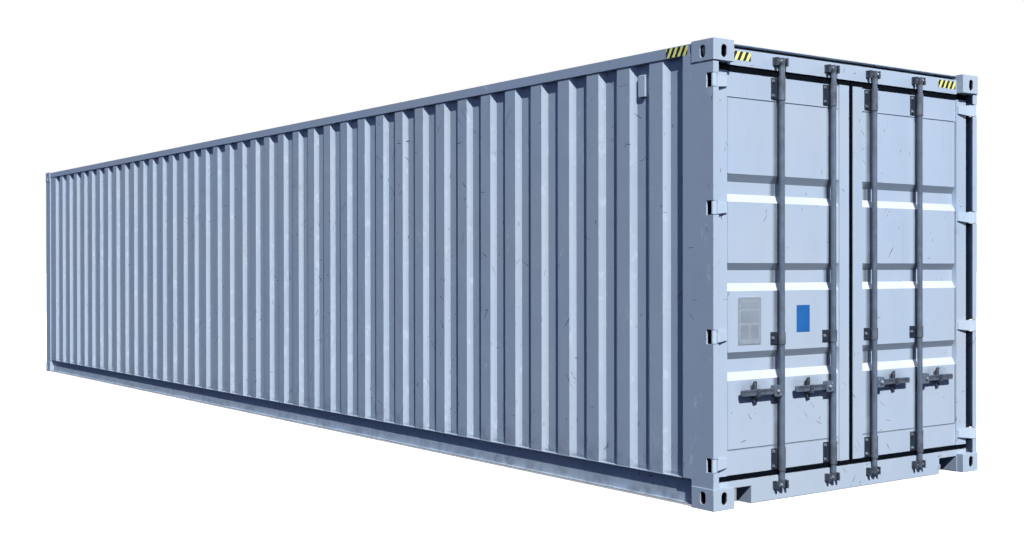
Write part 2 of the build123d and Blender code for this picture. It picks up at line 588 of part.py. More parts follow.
    # rod brackets: long bearing sleeves at top and bottom, a short one between
    with BuildPart() as rod_brackets:
        for yr in (s * 191.0, s * 640.0):
            for z0, z1, edge, flange in ((168.0, 304.0, 8.0, 54.0), (2294.0, 2430.0, 8.0, 54.0),
                                         (894.0, 965.0, 0.0, 60.0)):
                with BuildSketch(Plane.XY.offset(z0 + edge)):
                    Polygon(*[(x, yr + y) for x, y in rect(PANEL_X, PANEL_X + 6, -flange, flange)], align=None)
                extrude(amount=z1 - z0 - 2 * edge)
                with BuildSketch(Plane.XY.offset(z0 + edge)):
                    Polygon(*[(x, yr + y) for x, y in
                              rect(PANEL_X + 6, ROD_X, -WEB_W / 2, WEB_W / 2)], align=None)
                extrude(amount=z1 - z0 - 2 * edge)
                with BuildSketch(Plane.XY.offset(z0)):
                    with Locations((ROD_X, yr)):
                        Circle(SLEEVE_R)
                extrude(amount=z1 - z0)
                with BuildSketch(Plane.XY.offset(z0)):
                    with Locations((ROD_X, yr)):
                        Circle(BORE_R)
                extrude(amount=z1 - z0, mode=Mode.SUBTRACT)
    rod_brackets.part.label = f"rod_brackets_{name}"
    export_step(rod_brackets.part, f"parts/rod_brackets_{name}.step")

    # handle catches: an upright plate behind the bar with an eye at its foot,
    # a shelf under the bar, and a block that carries both on the panel
    with BuildPart() as handle_catches:
        for yr in (s * 191.0, s * 640.0):
            yc = yr + s * CATCH_D
            with BuildSketch(Plane.YZ.offset(PANEL_X)):
                with Locations((yc, 634.0)):
                    RectangleRounded(36, 70, 5)
            extrude(amount=5)
            with BuildSketch(Plane.YZ.offset(PANEL_X)):
                Polygon(*[(yc + y, z) for y, z in rect(-8, 8, 607, 662)], align=None)
            extrude(amount=CATCH_X0 + 2 - PANEL_X)
            with BuildSketch(Plane.YZ.offset(PANEL_X)):
                Polygon(*[(yc + y, z) for y, z in rect(-CATCH_W / 2, CATCH_W / 2, 598, 607)], align=None)
            extrude(amount=6076.0 - PANEL_X)
            with BuildSketch(Plane.YZ.offset(CATCH_X0)):
                Polygon(*[(yc + y, z) for y, z in rect(-CATCH_W / 2, CATCH_W / 2, 583, 681)], align=None)
                with Locations((yc, 681.0), (yc, 583.0)):
                    Circle(CATCH_W / 2)
                with Locations((yc, 584.0)):
                    Circle(5.5, mode=Mode.SUBTRACT)
            extrude(amount=8)
    handle_catches.part.label = f"handle_catches_{name}"
    export_step(handle_catches.part, f"parts/handle_catches_{name}.step")

# blank data plate on the left leaf
with BuildPart() as data_plate:
    with BuildSketch(Plane.YZ.offset(PANEL_X)):
        with Locations((-872.0, 1034.0)):
            RectangleRounded(186, 268, 8)
    extrude(amount=3)
data_plate.part.label = "data_plate"
export_step(data_plate.part, "parts/data_plate.step")

# ---------------------------------------------------------------------------
# Lock rods with cams and handle hub, and the handles
# ---------------------------------------------------------------------------
for i, yr in enumerate(ROD_Y, start=1):
    s = 1 if yr > 0 else -1      # side that the handle and the cam noses point to
    with BuildPart() as lock_rod:
        with BuildSketch(Plane.XY.offset(ROD_Z0)):
            with Locations((ROD_X, yr)):
                Circle(ROD_R)
        extrude(amount=ROD_Z1 - ROD_Z0)
        for z0 in CAM_Z:
            with BuildSketch(Plane.XY.offset(z0)):
                Polygon((ROD_X - 14, yr), (ROD_X - 9, yr + s * (CAM_NOSE - 6)), (ROD_X - 3, yr + s * (CAM_NOSE - 0.6)),
                        (ROD_X + 6, yr + s * (CAM_NOSE - 1)), (ROD_X + 14, yr), align=None)
                with Locations((ROD_X, yr)):
                    Circle(ROD_R + 0.5)
            extrude(amount=CAM_H)
        # hub for the handle: a plate behind the bar and one before it, a block
        # that joins both at the rod, and the pivot pin
        for x0, x1, edge in ((HAND_X0 - 10.3, HAND_X0 - 0.3, 0.0),
                             (HAND_X0 + HAND_T + 0.5, HAND_X0 + HAND_T + 6.5, HUB_Y0)):
            with BuildSketch(Plane.YZ.offset(x0)):
                Polygon(*[(yr + s * y, z) for y, z in
                          ((edge, HAND_Z - 31), (HUB_END - 6, HAND_Z - 31), (HUB_END, HAND_Z - 25),
                           (HUB_END, HAND_Z + 27), (HUB_END - 6, HAND_Z + 33), (edge, HAND_Z + 33))],
                        align=None)
            extrude(amount=x1 - x0)
        with BuildSketch(Plane.XY.offset(HAND_Z - 31)):
            Polygon(*[(x, yr + s * y) for x, y in
                      rect(HAND_X0 - 10.3, HAND_X0 + HAND_T + 6.5, HUB_Y0 - 4, HUB_Y0 + 13)], align=None)
        extrude(amount=64)
        with BuildSketch(Plane.YZ.offset(HAND_X0 - 2)):
            with Locations((yr + s * HUB_PIN, HAND_Z)):
                Circle(6)
        extrude(amount=HAND_T + 4)
        with BuildSketch(Plane.YZ.offset(HAND_X0 + HAND_T + 6.5)):
            with Locations((yr + s * HUB_PIN, HAND_Z)):
                Circle(9)
        extrude(amount=5)
    lock_rod.part.label = f"lock_rod_{i}"
    export_step(lock_rod.part, f"parts/lock_rod_{i}.step")

    # thick flat bar, rounded at both ends, with a long flute in its face
    with BuildPart() as handle:
        with BuildSketch(Plane.YZ.offset(HAND_X0)):
            Polygon(*[(yr + s * y, z) for y, z in
                      rect(HUB_PIN, HAND_END - 9, HAND_Z - HAND_H / 2, HAND_Z + HAND_H / 2)], align=None)
            Polygon(*[(yr + s * y, z) for y, z in
                      rect(HAND_END - 10, HAND_END, HAND_Z - HAND_H / 2 + 9, HAND_Z + HAND_H / 2 - 9)],
                    align=None)
            with Locations((yr + s * (HAND_END - 9), HAND_Z + HAND_H / 2 - 9),
                           (yr + s * (HAND_END - 9), HAND_Z - HAND_H / 2 + 9)):
                Circle(9)
            with Locations((yr + s * HUB_PIN, HAND_Z)):
                Circle(HAND_H / 2)
            with Locations((yr + s * HUB_PIN, HAND_Z)):
                Circle(6.06, mode=Mode.SUBTRACT)
        extrude(amount=HAND_T)
        with BuildSketch(Plane.YZ.offset(HAND_X0 + HAND_T - 3)):
            Polygon(*[(yr + s * y, z) for y, z in
                      ((HUB_END + 10, HAND_Z - 7), (CATCH_D - 22, HAND_Z - 7), (CATCH_D - 22, HAND_Z + 7),
                       (HUB_END + 10, HAND_Z + 7))], align=None)
            Polygon(*[(yr + s * y, z) for y, z in
                      ((CATCH_D + 22, HAND_Z - 7), (HAND_END - 14, HAND_Z - 7), (HAND_END - 14, HAND_Z + 7),
                       (CATCH_D + 22, HAND_Z + 7))], align=None)
        extrude(amount=4, mode=Mode.SUBTRACT)
    handle.part.label = f"handle_{i}"
    export_step(handle.part, f"parts/handle_{i}.step")
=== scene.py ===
import math
import random

import bpy
import bmesh
from mathutils import Matrix, Vector


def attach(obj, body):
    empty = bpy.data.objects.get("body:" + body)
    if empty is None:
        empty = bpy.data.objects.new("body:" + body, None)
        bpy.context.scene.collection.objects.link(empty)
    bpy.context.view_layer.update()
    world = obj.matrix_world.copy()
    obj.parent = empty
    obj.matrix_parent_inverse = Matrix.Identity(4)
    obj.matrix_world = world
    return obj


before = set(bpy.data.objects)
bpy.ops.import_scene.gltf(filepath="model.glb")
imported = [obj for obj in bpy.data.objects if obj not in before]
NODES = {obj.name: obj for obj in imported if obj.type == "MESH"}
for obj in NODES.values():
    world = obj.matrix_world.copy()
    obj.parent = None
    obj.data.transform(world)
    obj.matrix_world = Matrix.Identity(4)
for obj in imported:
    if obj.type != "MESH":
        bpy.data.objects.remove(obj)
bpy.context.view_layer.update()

# ---------------------------------------------------------------------------
# Sizes in metres, the same as the frame's
# ---------------------------------------------------------------------------
XE, YE, HGT = 6.096, 1.219, 2.591
XC, YC, ZC = 5.918, 1.057, 2.473
YP, XP = 1.211, 6.088
WALL_OUT, WALL_IN = 1.206, 1.180
WAVE_FIRST, WAVE_RUN, WAVE_FLAT, WAVE_PITCH, WAVES = 0.2475, 0.040, 0.0925, 0.2845, 41
FACE_X, PANEL_X, LEAF_X1 = 6.044, 6.031, 6.041
ROD_X = 6.066
ROD_Y = (-0.640, -0.191, 0.191, 0.640)
HINGE_Z = (2.365, 1.664, 0.955, 0.248)
HINGE_X, HINGE_Y = 6.078, 1.201
HAND_Z = 0.630


# ---------------------------------------------------------------------------
# Shader helpers
# ---------------------------------------------------------------------------
class Mat:
    """A material's node tree, with short ways to add nodes."""

    def __init__(self, name):
        self.m = bpy.data.materials.new(name)
        self.m.use_nodes = True
        self.t = self.m.node_tree
        self.t.nodes.clear()
        self.out = self.add("ShaderNodeOutputMaterial")
        self.bsdf = self.add("ShaderNodeBsdfPrincipled")
        self.link(self.bsdf.outputs["BSDF"], self.out.inputs["Surface"])
        tc = self.add("ShaderNodeTexCoord")
        self.co, self.own_normal = tc.outputs["Object"], tc.outputs["Normal"]
        sep = self.add("ShaderNodeSeparateXYZ")
        self.link(self.co, sep.inputs[0])
        self.x, self.y, self.z = sep.outputs[0], sep.outputs[1], sep.outputs[2]

    def add(self, kind, **props):
        n = self.t.nodes.new(kind)
        for k, v in props.items():
            setattr(n, k, v)
        return n

    def link(self, a, b):
        self.t.links.new(a, b)

    def put(self, socket, value):
        if isinstance(value, bpy.types.NodeSocket):
            self.link(value, socket)
        else:
            socket.default_value = value

    def math(self, op, a, b=0.0, c=None, clamp=False):
        n = self.add("ShaderNodeMath", operation=op, use_clamp=clamp)
        self.put(n.inputs[0], a)
        self.put(n.inputs[1], b)
        if c is not None:
            self.put(n.inputs[2], c)
        return n.outputs[0]

    def vec(self, x, y, z=0.0):
        n = self.add("ShaderNodeCombineXYZ")
        for s, v in zip(n.inputs, (x, y, z)):
            self.put(s, v)
        return n.outputs[0]

    def mapped(self, v, loc=(0, 0, 0), rot=(0, 0, 0), scale=(1, 1, 1)):
        n = self.add("ShaderNodeMapping")
        self.link(v, n.inputs[0])
        n.inputs[1].default_value = loc
        n.inputs[2].default_value = rot
        n.inputs[3].default_value = scale
        return n.outputs[0]

    def noise(self, v, scale, detail=3.0, rough=0.55, distort=0.0, dims="3D", colour=False):
        n = self.add("ShaderNodeTexNoise", noise_dimensions=dims)
        self.link(v, n.inputs["Vector"])
        n.inputs["Scale"].default_value = scale
        n.inputs["Detail"].default_value = detail
        n.inputs["Roughness"].default_value = rough
        n.inputs["Distortion"].default_value = distort
        return n.outputs["Color" if colour else "Fac"]

    def step(self, v, lo, hi, a=0.0, b=1.0, smooth=True):
        n = self.add("ShaderNodeMapRange", interpolation_type="SMOOTHSTEP" if smooth else "LINEAR")
        n.clamp = True
        self.put(n.inputs[0], v)
        for i, x in enumerate((lo, hi, a, b), start=1):
            n.inputs[i].default_value = x
        return n.outputs[0]

    def mix(self, fac, a, b, blend="MIX"):
        n = self.add("ShaderNodeMix", data_type="RGBA", blend_type=blend)
        n.clamp_factor = True
        self.put(n.inputs[0], fac)
        for s, v in ((n.inputs[6], a), (n.inputs[7], b)):
            if isinstance(v, (tuple, list)):
                v = (v[0], v[1], v[2], 1.0)
            self.put(s, v)
        return n.outputs[2]

    def marks(self, uv, angle, cell, radius, share, seed, wobble=0.25):
        """Sparse long marks: a cell pattern stretched along one direction, with most cells left empty."""
        turned = self.add("ShaderNodeMapping", vector_type="TEXTURE")
        self.link(uv, turned.inputs[0])
        turned.inputs[1].default_value = (seed * 3.7, seed * 1.9, 0)
        turned.inputs[2].default_value = (0, 0, angle)
        turned.inputs[3].default_value = (cell[0], cell[1], 1)
        v = turned.outputs[0]
        if wobble:
            w = self.noise(uv, 6.0 / cell[0], 2.0, 0.6, dims="2D")
            w = self.math("MULTIPLY_ADD", w, wobble * 8.0, -wobble * 4.0)
            sep = self.add("ShaderNodeSeparateXYZ")
            self.link(v, sep.inputs[0])
            v = self.vec(sep.outputs[0], self.math("ADD", sep.outputs[1], w))
        n = self.add("ShaderNodeTexVoronoi", voronoi_dimensions="2D", feature="F1")
        self.link(v, n.inputs["Vector"])
        n.inputs["Scale"].default_value = 1.0
        near = self.step(n.outputs["Distance"], radius, radius * 0.55)
        pick = self.add("ShaderNodeSeparateColor")
        self.link(n.outputs["Color"], pick.inputs[0])
        keep = self.math("LESS_THAN", pick.outputs[0], share)
        return self.math("MULTIPLY", near, keep)

    def surface(self, colour, rough, height=None, depth=0.001, bevel=None, metallic=0.0, normal=None):
        self.put(self.bsdf.inputs["Base Color"], colour if not isinstance(colour, tuple) else (*colour, 1.0))
        self.put(self.bsdf.inputs["Roughness"], rough)
        self.bsdf.inputs["Metallic"].default_value = metallic
        n = None
        if bevel:
            b = self.add("ShaderNodeBevel")
            b.samples = 4
            b.inputs["Radius"].default_value = bevel
            n = b.outputs[0]
        if height is not None:
            bump = self.add("ShaderNodeBump")
            bump.inputs["Strength"].default_value = 1.0
            bump.inputs["Distance"].default_value = depth
            self.link(height, bump.inputs["Height"])
            if n is not None:
                self.link(n, bump.inputs["Normal"])
            n = bump.outputs[0]
        if n is not None:
            self.link(n, self.bsdf.inputs["Normal"])
        return self.m


def total(m, *terms):
    s = terms[0]
    for t in terms[1:]:
        s = m.math("ADD", s, t)
    return s


def times(m, a, b):
    return m.math("MULTIPLY", a, b)


# ---------------------------------------------------------------------------
# Materials
# ---------------------------------------------------------------------------
PAINT = (0.385, 0.462, 0.545)
# colour of the painted shade in hollows
SHADE_NAVY = (0.012, 0.018, 0.032)


def inside(m, lo, hi, soft=0.004):
    """1 deep inside a box, 0 outside it; lo and hi are its corners with x and y mirrored."""
    ax = m.math("ABSOLUTE", m.x)
    ay = m.math("ABSOLUTE", m.y)
    out = None
    for v, a, b in ((ax, lo[0], hi[0]), (ay, lo[1], hi[1]), (m.z, lo[2], hi[2])):
        d = m.math("MINIMUM", m.math("SUBTRACT", v, a), m.math("SUBTRACT", b, v))
        out = d if out is None else m.math("MINIMUM", out, d)
    return m.step(out, 0.0, soft)


def paint(name, rgb=PAINT, rough=0.42, dents=0.6, marks=1.0, grime=None, chips=0.0, bevel=0.0, streaks=0.5,
          dark=(), axis="side", fade=None, darker_boxes=(), side_shade_and_rubs=0.0, rod_shade_and_fold_light=0.0, ramp_highlight=0.0):
    """Satin container paint: slow colour drift, run-off streaks, flecks, short scratches with dark and brown
    bottoms, and slight waviness of the steel."""
    m = Mat(name)
    u = m.math("ADD", m.x, m.y) if axis == "side" else m.y
    v = m.z if axis == "side" else m.x
    uv = m.vec(u, v)
    slow = m.noise(m.co, 0.8, 2.0, 0.5)
    mid = m.noise(m.co, 6.0, 4.0, 0.6)
    warm = tuple(c * k for c, k in zip(rgb, (1.02, 1.0, 0.975)))
    cool = tuple(c * k for c, k in zip(rgb, (0.975, 1.0, 1.025)))
    col = m.mix(m.step(slow, 0.35, 0.65), warm, cool)
    col = m.mix(m.step(mid, 0.42, 0.74, 0.0, 0.08), col, tuple(c * 0.72 for c in rgb))
    # run-off streaks
    run = m.noise(m.vec(m.math("MULTIPLY", u, 30.0), m.math("MULTIPLY", v, 1.1)), 1.0, 3.0, 0.6, dims="2D")
    run = times(m, m.step(run, 0.58, 0.80), m.step(slow, 0.40, 0.62))
    col = m.mix(times(m, run, 0.20 * streaks), col, (0.15, 0.15, 0.15))
    # scratches come in groups: short, bent a little, dark or brown at the bottom
    zone = m.noise(m.co, 1.9, 1.0, 0.5)
    bend = m.noise(uv, 5.0, 1.0, 0.5, dims="2D", colour=True)
    off = m.add("ShaderNodeVectorMath", operation="MULTIPLY_ADD")
    m.link(bend, off.inputs[0])
    off.inputs[1].default_value = (0.09, 0.09, 0.0)
    m.link(uv, off.inputs[2])
    buv = off.outputs[0]
    wide = 1.0 + 0.45 * min(1.0, max(0.0, marks - 0.8))
    s1 = m.marks(buv, 0.95, (0.170 * wide, 0.0085 * wide), 0.30, 0.0052 * marks, 3.0, wobble=0)
    s2 = m.marks(buv, -0.80, (0.120 * wide, 0.0080 * wide), 0.30, 0.0050 * marks, 7.0, wobble=0)
    s3 = m.marks(buv, 1.35, (0.060, 0.0100 * wide), 0.28, 0.0080 * marks, 11.0, wobble=0)
    s4 = m.marks(buv, 0.15, (0.080 * wide, 0.0090 * wide), 0.28, 0.0050 * marks, 23.0, wobble=0)
    fine = m.marks(buv, 0.72, (0.260, 0.0070), 0.22, 0.0200 * marks, 17.0, wobble=0)
    fl = m.marks(uv, 0.3, (0.060, 0.045), 0.085, 0.026 * marks, 5.0, wobble=0)
    sc = m.math("MAXIMUM", m.math("MAXIMUM", s1, s2), m.math("MAXIMUM", m.math("MAXIMUM", s3, s4), fl))
    thin = m.noise(m.co, 60.0, 1.0, 0.5)
    sc = times(m, sc, m.step(thin, 0.30, 0.50))
    sc = times(m, sc, m.step(zone, 0.46, 0.52))
    fine = times(m, fine, times(m, m.step(zone, 0.50, 0.56), m.step(thin, 0.46, 0.56)))
    tone = m.mix(m.step(mid, 0.50, 0.62), (0.020, 0.026, 0.040), (0.075, 0.055, 0.042))
    col = m.mix(times(m, fine, 0.34), col, (0.09, 0.10, 0.12))
    col = m.mix(times(m, sc, 0.90), col, tone)
    hit = sc
    if grime:
        # splash and dust at the foot, thick in the last few centimetres
        lo, hi, amount = grime
        foot = m.step(m.z, hi, lo)
        foot = times(m, foot, m.step(m.noise(m.co, 13.0, 5.0, 0.65), 0.38, 0.68))
        col = m.mix(times(m, foot, amount), col, (0.10, 0.10, 0.105))
    if fade:
        # a slow change of tone up the surface
        col = m.mix(m.step(m.z, fade[0], fade[1], fade[2], 0.0), col, tuple(c * 0.5 for c in rgb))
    for lo, hi, soft, amount in darker_boxes:
        # darker, mottled tone inside a box; on the wall, a band along its foot above the bottom rail
        d = times(m, inside(m, lo, hi, soft), m.step(m.noise(m.co, 9.0, 4.0, 0.6), 0.25, 0.60, 0.55, 1.0))
        col = m.mix(times(m, d, amount), col, (0.075, 0.080, 0.092))
    if rod_shade_and_fold_light:
        # painted shade behind each lock rod and round the lock handles, on the outside only: it stands in for their
        # shadows and for the shade between them and the leaf. Its strength is fitted to the photo.
        own = m.add("ShaderNodeSeparateXYZ")
        m.link(m.own_normal, own.inputs[0])
        outer = m.step(own.outputs[0], 0.05, 0.30)
        ay = m.math("ABSOLUTE", m.y)
        near = None
        for yr in (0.191, 0.640):
            d = m.math("ABSOLUTE", m.math("SUBTRACT", ay, yr + 0.010 * (-1 if yr < 0.3 else 1)))
            near = d if near is None else m.math("MINIMUM", near, d)
        rod_shade_mask = m.step(near, 0.042, 0.004)
        rod_shade_mask = times(m, rod_shade_mask, m.step(m.noise(m.co, 5.0, 4.0, 0.6), 0.25, 0.55, 0.70, 1.0))
        col = m.mix(times(m, times(m, rod_shade_mask, outer), rod_shade_and_fold_light), col, (0.060, 0.070, 0.090))
        # painted shadow round each lock handle
        for yc in (0.397, 0.846):
            dy = m.math("DIVIDE", m.math("SUBTRACT", ay, yc), 0.150)
            dz = m.math("DIVIDE", m.math("SUBTRACT", m.z, 0.655), 0.060)
            d = m.math("SQRT", m.math("ADD", times(m, dy, dy), times(m, dz, dz)))
            g = times(m, m.step(d, 1.15, 0.35), m.step(m.noise(m.co, 16.0, 4.0, 0.65), 0.30, 0.62, 0.45, 1.0))
            col = m.mix(times(m, times(m, g, outer), 0.38), col, (0.060, 0.068, 0.084))
        # painted highlight on the folds that face up and painted shade on those that face down, fitted to the photo's
        # highlights and shade
        up_fold_highlight = times(m, m.step(own.outputs[2], 0.20, 0.45), m.step(m.noise(m.co, 3.0, 3.0, 0.6), 0.20, 0.50, 0.75, 1.0))
        col = m.mix(up_fold_highlight, col, tuple(min(1.0, c * k) for c, k in zip(rgb, (1.30, 1.18, 1.06))))
        low = m.step(own.outputs[2], -0.20, -0.45)
        col = m.mix(times(m, low, 0.30), col, tuple(c * k for c, k in zip(rgb, (0.18, 0.20, 0.24))))
    if side_shade_and_rubs:
        # painted shade on the long level faces of the two sides, fitted to the photo, where the side is in weak light
        geo = m.add("ShaderNodeNewGeometry")
        gs = m.add("ShaderNodeSeparateXYZ")
        m.link(geo.outputs["True Normal"], gs.inputs[0])
        level = m.step(m.math("ABSOLUTE", gs.outputs[1]), 0.90, 0.97)
        col = m.mix(times(m, level, side_shade_and_rubs), col, tuple(c * k for c, k in zip(rgb, (0.12, 0.22, 0.41))))
        # chalky rubs where cargo gear and other boxes have slid along
        rub = m.noise(m.vec(m.math("MULTIPLY", u, 9.0), m.math("MULTIPLY", v, 2.2)), 1.0, 4.0, 0.65, dims="2D")
        rub = times(m, m.step(rub, 0.60, 0.72), m.step(m.noise(m.co, 26.0, 3.0, 0.7), 0.50, 0.62))
        col = m.mix(times(m, rub, 0.30), col, (0.62, 0.68, 0.74))
    if ramp_highlight:
        # painted highlight on the slanted faces, fitted to the photo, with pale blotches on them
        slant = m.step(m.math("ABSOLUTE", gs.outputs[1]), 0.90, 0.86)
        out = m.step(m.math("ABSOLUTE", m.y), WALL_IN + 0.003, WALL_IN + 0.017, 0.0, 1.0)
        # the noise named worn here only makes the painted highlight patchy
        worn = m.noise(m.vec(m.math("MULTIPLY", m.x, 4.3), m.math("MULTIPLY", m.z, 0.9)), 1.0, 3.0, 0.6, dims="2D")
        pale = times(m, times(m, slant, out), m.step(worn, 0.30, 0.62, 0.45, 1.0))
        blot = m.noise(m.vec(m.math("MULTIPLY", m.x, 16.0), m.y, m.math("MULTIPLY", m.z, 9.0)), 1.0, 3.0, 0.65)
        col = m.mix(times(m, times(m, slant, m.step(blot, 0.56, 0.68)), 0.30), col, (0.66, 0.73, 0.80))
        # pale is the painted highlight of the slanted faces
        col = m.mix(times(m, pale, ramp_highlight), col, tuple(c * k for c, k in zip(rgb, (1.50, 1.42, 1.40))))
    if chips:
        # paint knocked off along edges
        b = m.add("ShaderNodeBevel")
        b.samples = 4
        b.inputs["Radius"].default_value = 0.006
        g = m.add("ShaderNodeNewGeometry")
        d = m.add("ShaderNodeVectorMath", operation="DOT_PRODUCT")
        m.link(b.outputs[0], d.inputs[0])
        m.link(g.outputs["Normal"], d.inputs[1])
        edge = m.step(d.outputs["Value"], 0.985, 0.90)
        knocked = times(m, edge, m.step(m.noise(m.co, 34.0, 4.0, 0.65), 0.58, 0.68))
        knocked = times(m, knocked, chips)
        col = m.mix(knocked, col, (0.09, 0.075, 0.065))
        hit = m.math("MAXIMUM", hit, knocked)
    r = m.math("MULTIPLY_ADD", mid, 0.16, rough - 0.08)
    r = m.math("ADD", r, times(m, hit, 0.30))
    for lo, hi, soft in dark:
        # painted shade: hollows painted near black, as they read black in the photo
        d = inside(m, lo, hi, soft)
        col = m.mix(d, col, SHADE_NAVY)
        r = m.math("ADD", r, times(m, d, 0.25))
    peel = m.noise(m.co, 420.0, 1.0, 0.5)
    wave = m.noise(m.co, 2.6, 2.0, 0.5)
    ding = m.noise(m.co, 9.0, 1.0, 0.5)
    h = total(m, times(m, wave, 5.0 * dents), times(m, ding, 0.9 * dents), times(m, peel, 0.02),
              times(m, hit, -0.25))
    return m.surface(col, r, height=h, depth=0.001, bevel=bevel)


M = {}
# painted shade inside the hollow corner castings
CAST_HOLLOW_SHADE = [((XC + 0.002, YC + 0.002, z0 + 0.002), (XE - 0.003, YE - 0.003, z0 + 0.116), 0.005)
             for z0 in (0.0, ZC)]
# wall, frame, casting and rail paints carry painted shade on their side faces; the wall paint also carries painted
# highlight on its slanted faces
M["wall"] = paint("wall_paint", grime=(0.157, 0.36, 0.35), dents=1.0, side_shade_and_rubs=0.29, ramp_highlight=0.30, marks=2.1, rough=0.38,
                  darker_boxes=[((0.0, 1.17, 0.150), (6.0, 1.208, 0.182), 0.016, 0.55)])
# frame paint: painted shade in the sill recesses, under the top castings, inside the door posts and in the header's
# upper recess
M["frame"] = paint("frame_paint", rgb=(0.392, 0.467, 0.556), side_shade_and_rubs=0.335, dents=0.25, chips=0.8, bevel=0.003, marks=0.7,
                   dark=[((5.925, 0.874, 0.0980), (6.037, 1.0495, 0.1035), 0.003),
                         ((5.93, 1.0575, 2.4), (6.0, 1.2, 2.474), 0.002),
                         ((5.93, 1.120, 0.12), (5.9905, 1.203, 2.473), 0.002),
                         ((5.95, 1.160, 0.118), (6.0815, 1.2045, 2.473), 0.002),
                         ((6.0040, -1.0, 2.5585), (6.0085, 1.06, 2.5815), 0.002)])
M["cast"] = paint("casting_paint", side_shade_and_rubs=0.28, dents=0.5, chips=0.9, bevel=0.004, rough=0.5, dark=CAST_HOLLOW_SHADE, marks=0.6)
# door paint: painted shade behind the rods and round the handles, painted highlight and shade on the folds
M["door"] = paint("door_paint", rgb=(0.396, 0.474, 0.570), rod_shade_and_fold_light=0.80, dents=0.55, marks=0.8, grime=(0.17, 0.34, 0.04))
# painted highlight: the hinge blades use the container paint made 15% lighter
M["blade"] = paint("blade_paint", rgb=tuple(min(1.0, c * 1.15) for c in PAINT), dents=0.2, marks=0.6, chips=0.35,
                   bevel=0.0015)
M["rail"] = paint("rail_paint", side_shade_and_rubs=0.17, dents=0.25, chips=0.7, grime=(0.01, 0.16, 0.5), bevel=0.002, marks=1.6)
M["roof"] = paint("roof_paint", dents=1.2, marks=1.2, streaks=0.0, axis="top")


def gear(name, rgb, rough, bevel=0.0015, metallic=0.0, plate=None, uneven=1.0, ends=0.0):
    """Painted and galvanised lock gear with rub marks, rust specks and dirt."""
    m = Mat(name)
    mid = m.noise(m.co, 14.0, 4.0, 0.6)
    fine = m.noise(m.co, 150.0, 3.0, 0.6)
    slow = m.noise(m.co, 2.2, 2.0, 0.5)
    dark = tuple(c * (1.0 - 0.34 * uneven) for c in rgb)
    light = tuple(min(1.0, c * (1.0 + 0.28 * uneven)) for c in rgb)
    col = m.mix(m.step(mid, 0.35, 0.68), dark, light)
    col = m.mix(m.step(slow, 0.4, 0.7, 0.0, 0.35), col, tuple(c * k for c, k in zip(rgb, (1.05, 0.97, 0.88))))
    if plate:
        near = m.step(m.x, plate[0], plate[0] + 0.002)
        col = m.mix(near, tuple(plate[1]), col)
    if ends:
        # darker tone on the cams at both ends
        far = m.step(m.math("ABSOLUTE", m.math("SUBTRACT", m.z, 1.303)), 1.176, 1.192)
        col = m.mix(times(m, far, ends), col, (0.018, 0.024, 0.036))
    rub = m.step(m.noise(m.vec(m.math("MULTIPLY", m.x, 60.0), m.math("MULTIPLY", m.y, 60.0),
                               m.math("MULTIPLY", m.z, 5.0)), 1.0, 3.0, 0.6), 0.62, 0.74)
    col = m.mix(times(m, rub, 0.35), col, tuple(min(1.0, c * 1.9) for c in rgb))
    rust = times(m, m.step(fine, 0.60, 0.70), m.step(mid, 0.55, 0.70))
    col = m.mix(times(m, rust, 0.55), col, (0.16, 0.075, 0.035))
    r = m.math("MULTIPLY_ADD", mid, 0.22, rough - 0.11)
    r = m.math("ADD", r, times(m, rust, 0.25))
    h = total(m, times(m, mid, 0.35), times(m, fine, 0.06))
    return m.surface(col, r, height=h, depth=0.001, bevel=bevel, metallic=metallic)


M["rod"] = gear("rod_steel", (0.100, 0.133, 0.182), 0.46, uneven=0.55, ends=0.55)
M["bracket"] = gear("bracket_steel", (0.096, 0.118, 0.152), 0.45, plate=(6.0372, (0.022, 0.030, 0.047)))
M["keeper"] = gear("keeper_steel", (0.034, 0.045, 0.066), 0.5)
M["catch"] = gear("catch_steel", (0.050, 0.064, 0.092), 0.5)
M["handle"] = gear("handle_steel", (0.080, 0.100, 0.134), 0.45)
M["bolt"] = gear("bolt_zinc", (0.155, 0.180, 0.215), 0.42, bevel=None, metallic=0.2)
M["bright"] = gear("bolt_bright", (0.26, 0.29, 0.32), 0.40, bevel=None, metallic=0.2)


def rubber():
    m = Mat("seal_rubber")
    mid = m.noise(m.co, 20.0, 4.0, 0.6)
    fine = m.noise(m.co, 300.0, 2.0, 0.6)
    col = m.mix(m.step(mid, 0.35, 0.7), (0.0010, 0.0022, 0.0045), (0.0026, 0.0042, 0.0075))
    col = m.mix(m.step(fine, 0.62, 0.75, 0.0, 0.3), col, (0.012, 0.015, 0.019))
    m.bsdf.inputs["Specular IOR Level"].default_value = 0.06
    return m.surface(col, m.math("MULTIPLY_ADD", mid, 0.2, 0.55), height=total(m, mid, times(m, fine, 0.1)),
                     depth=0.0006, bevel=0.003)


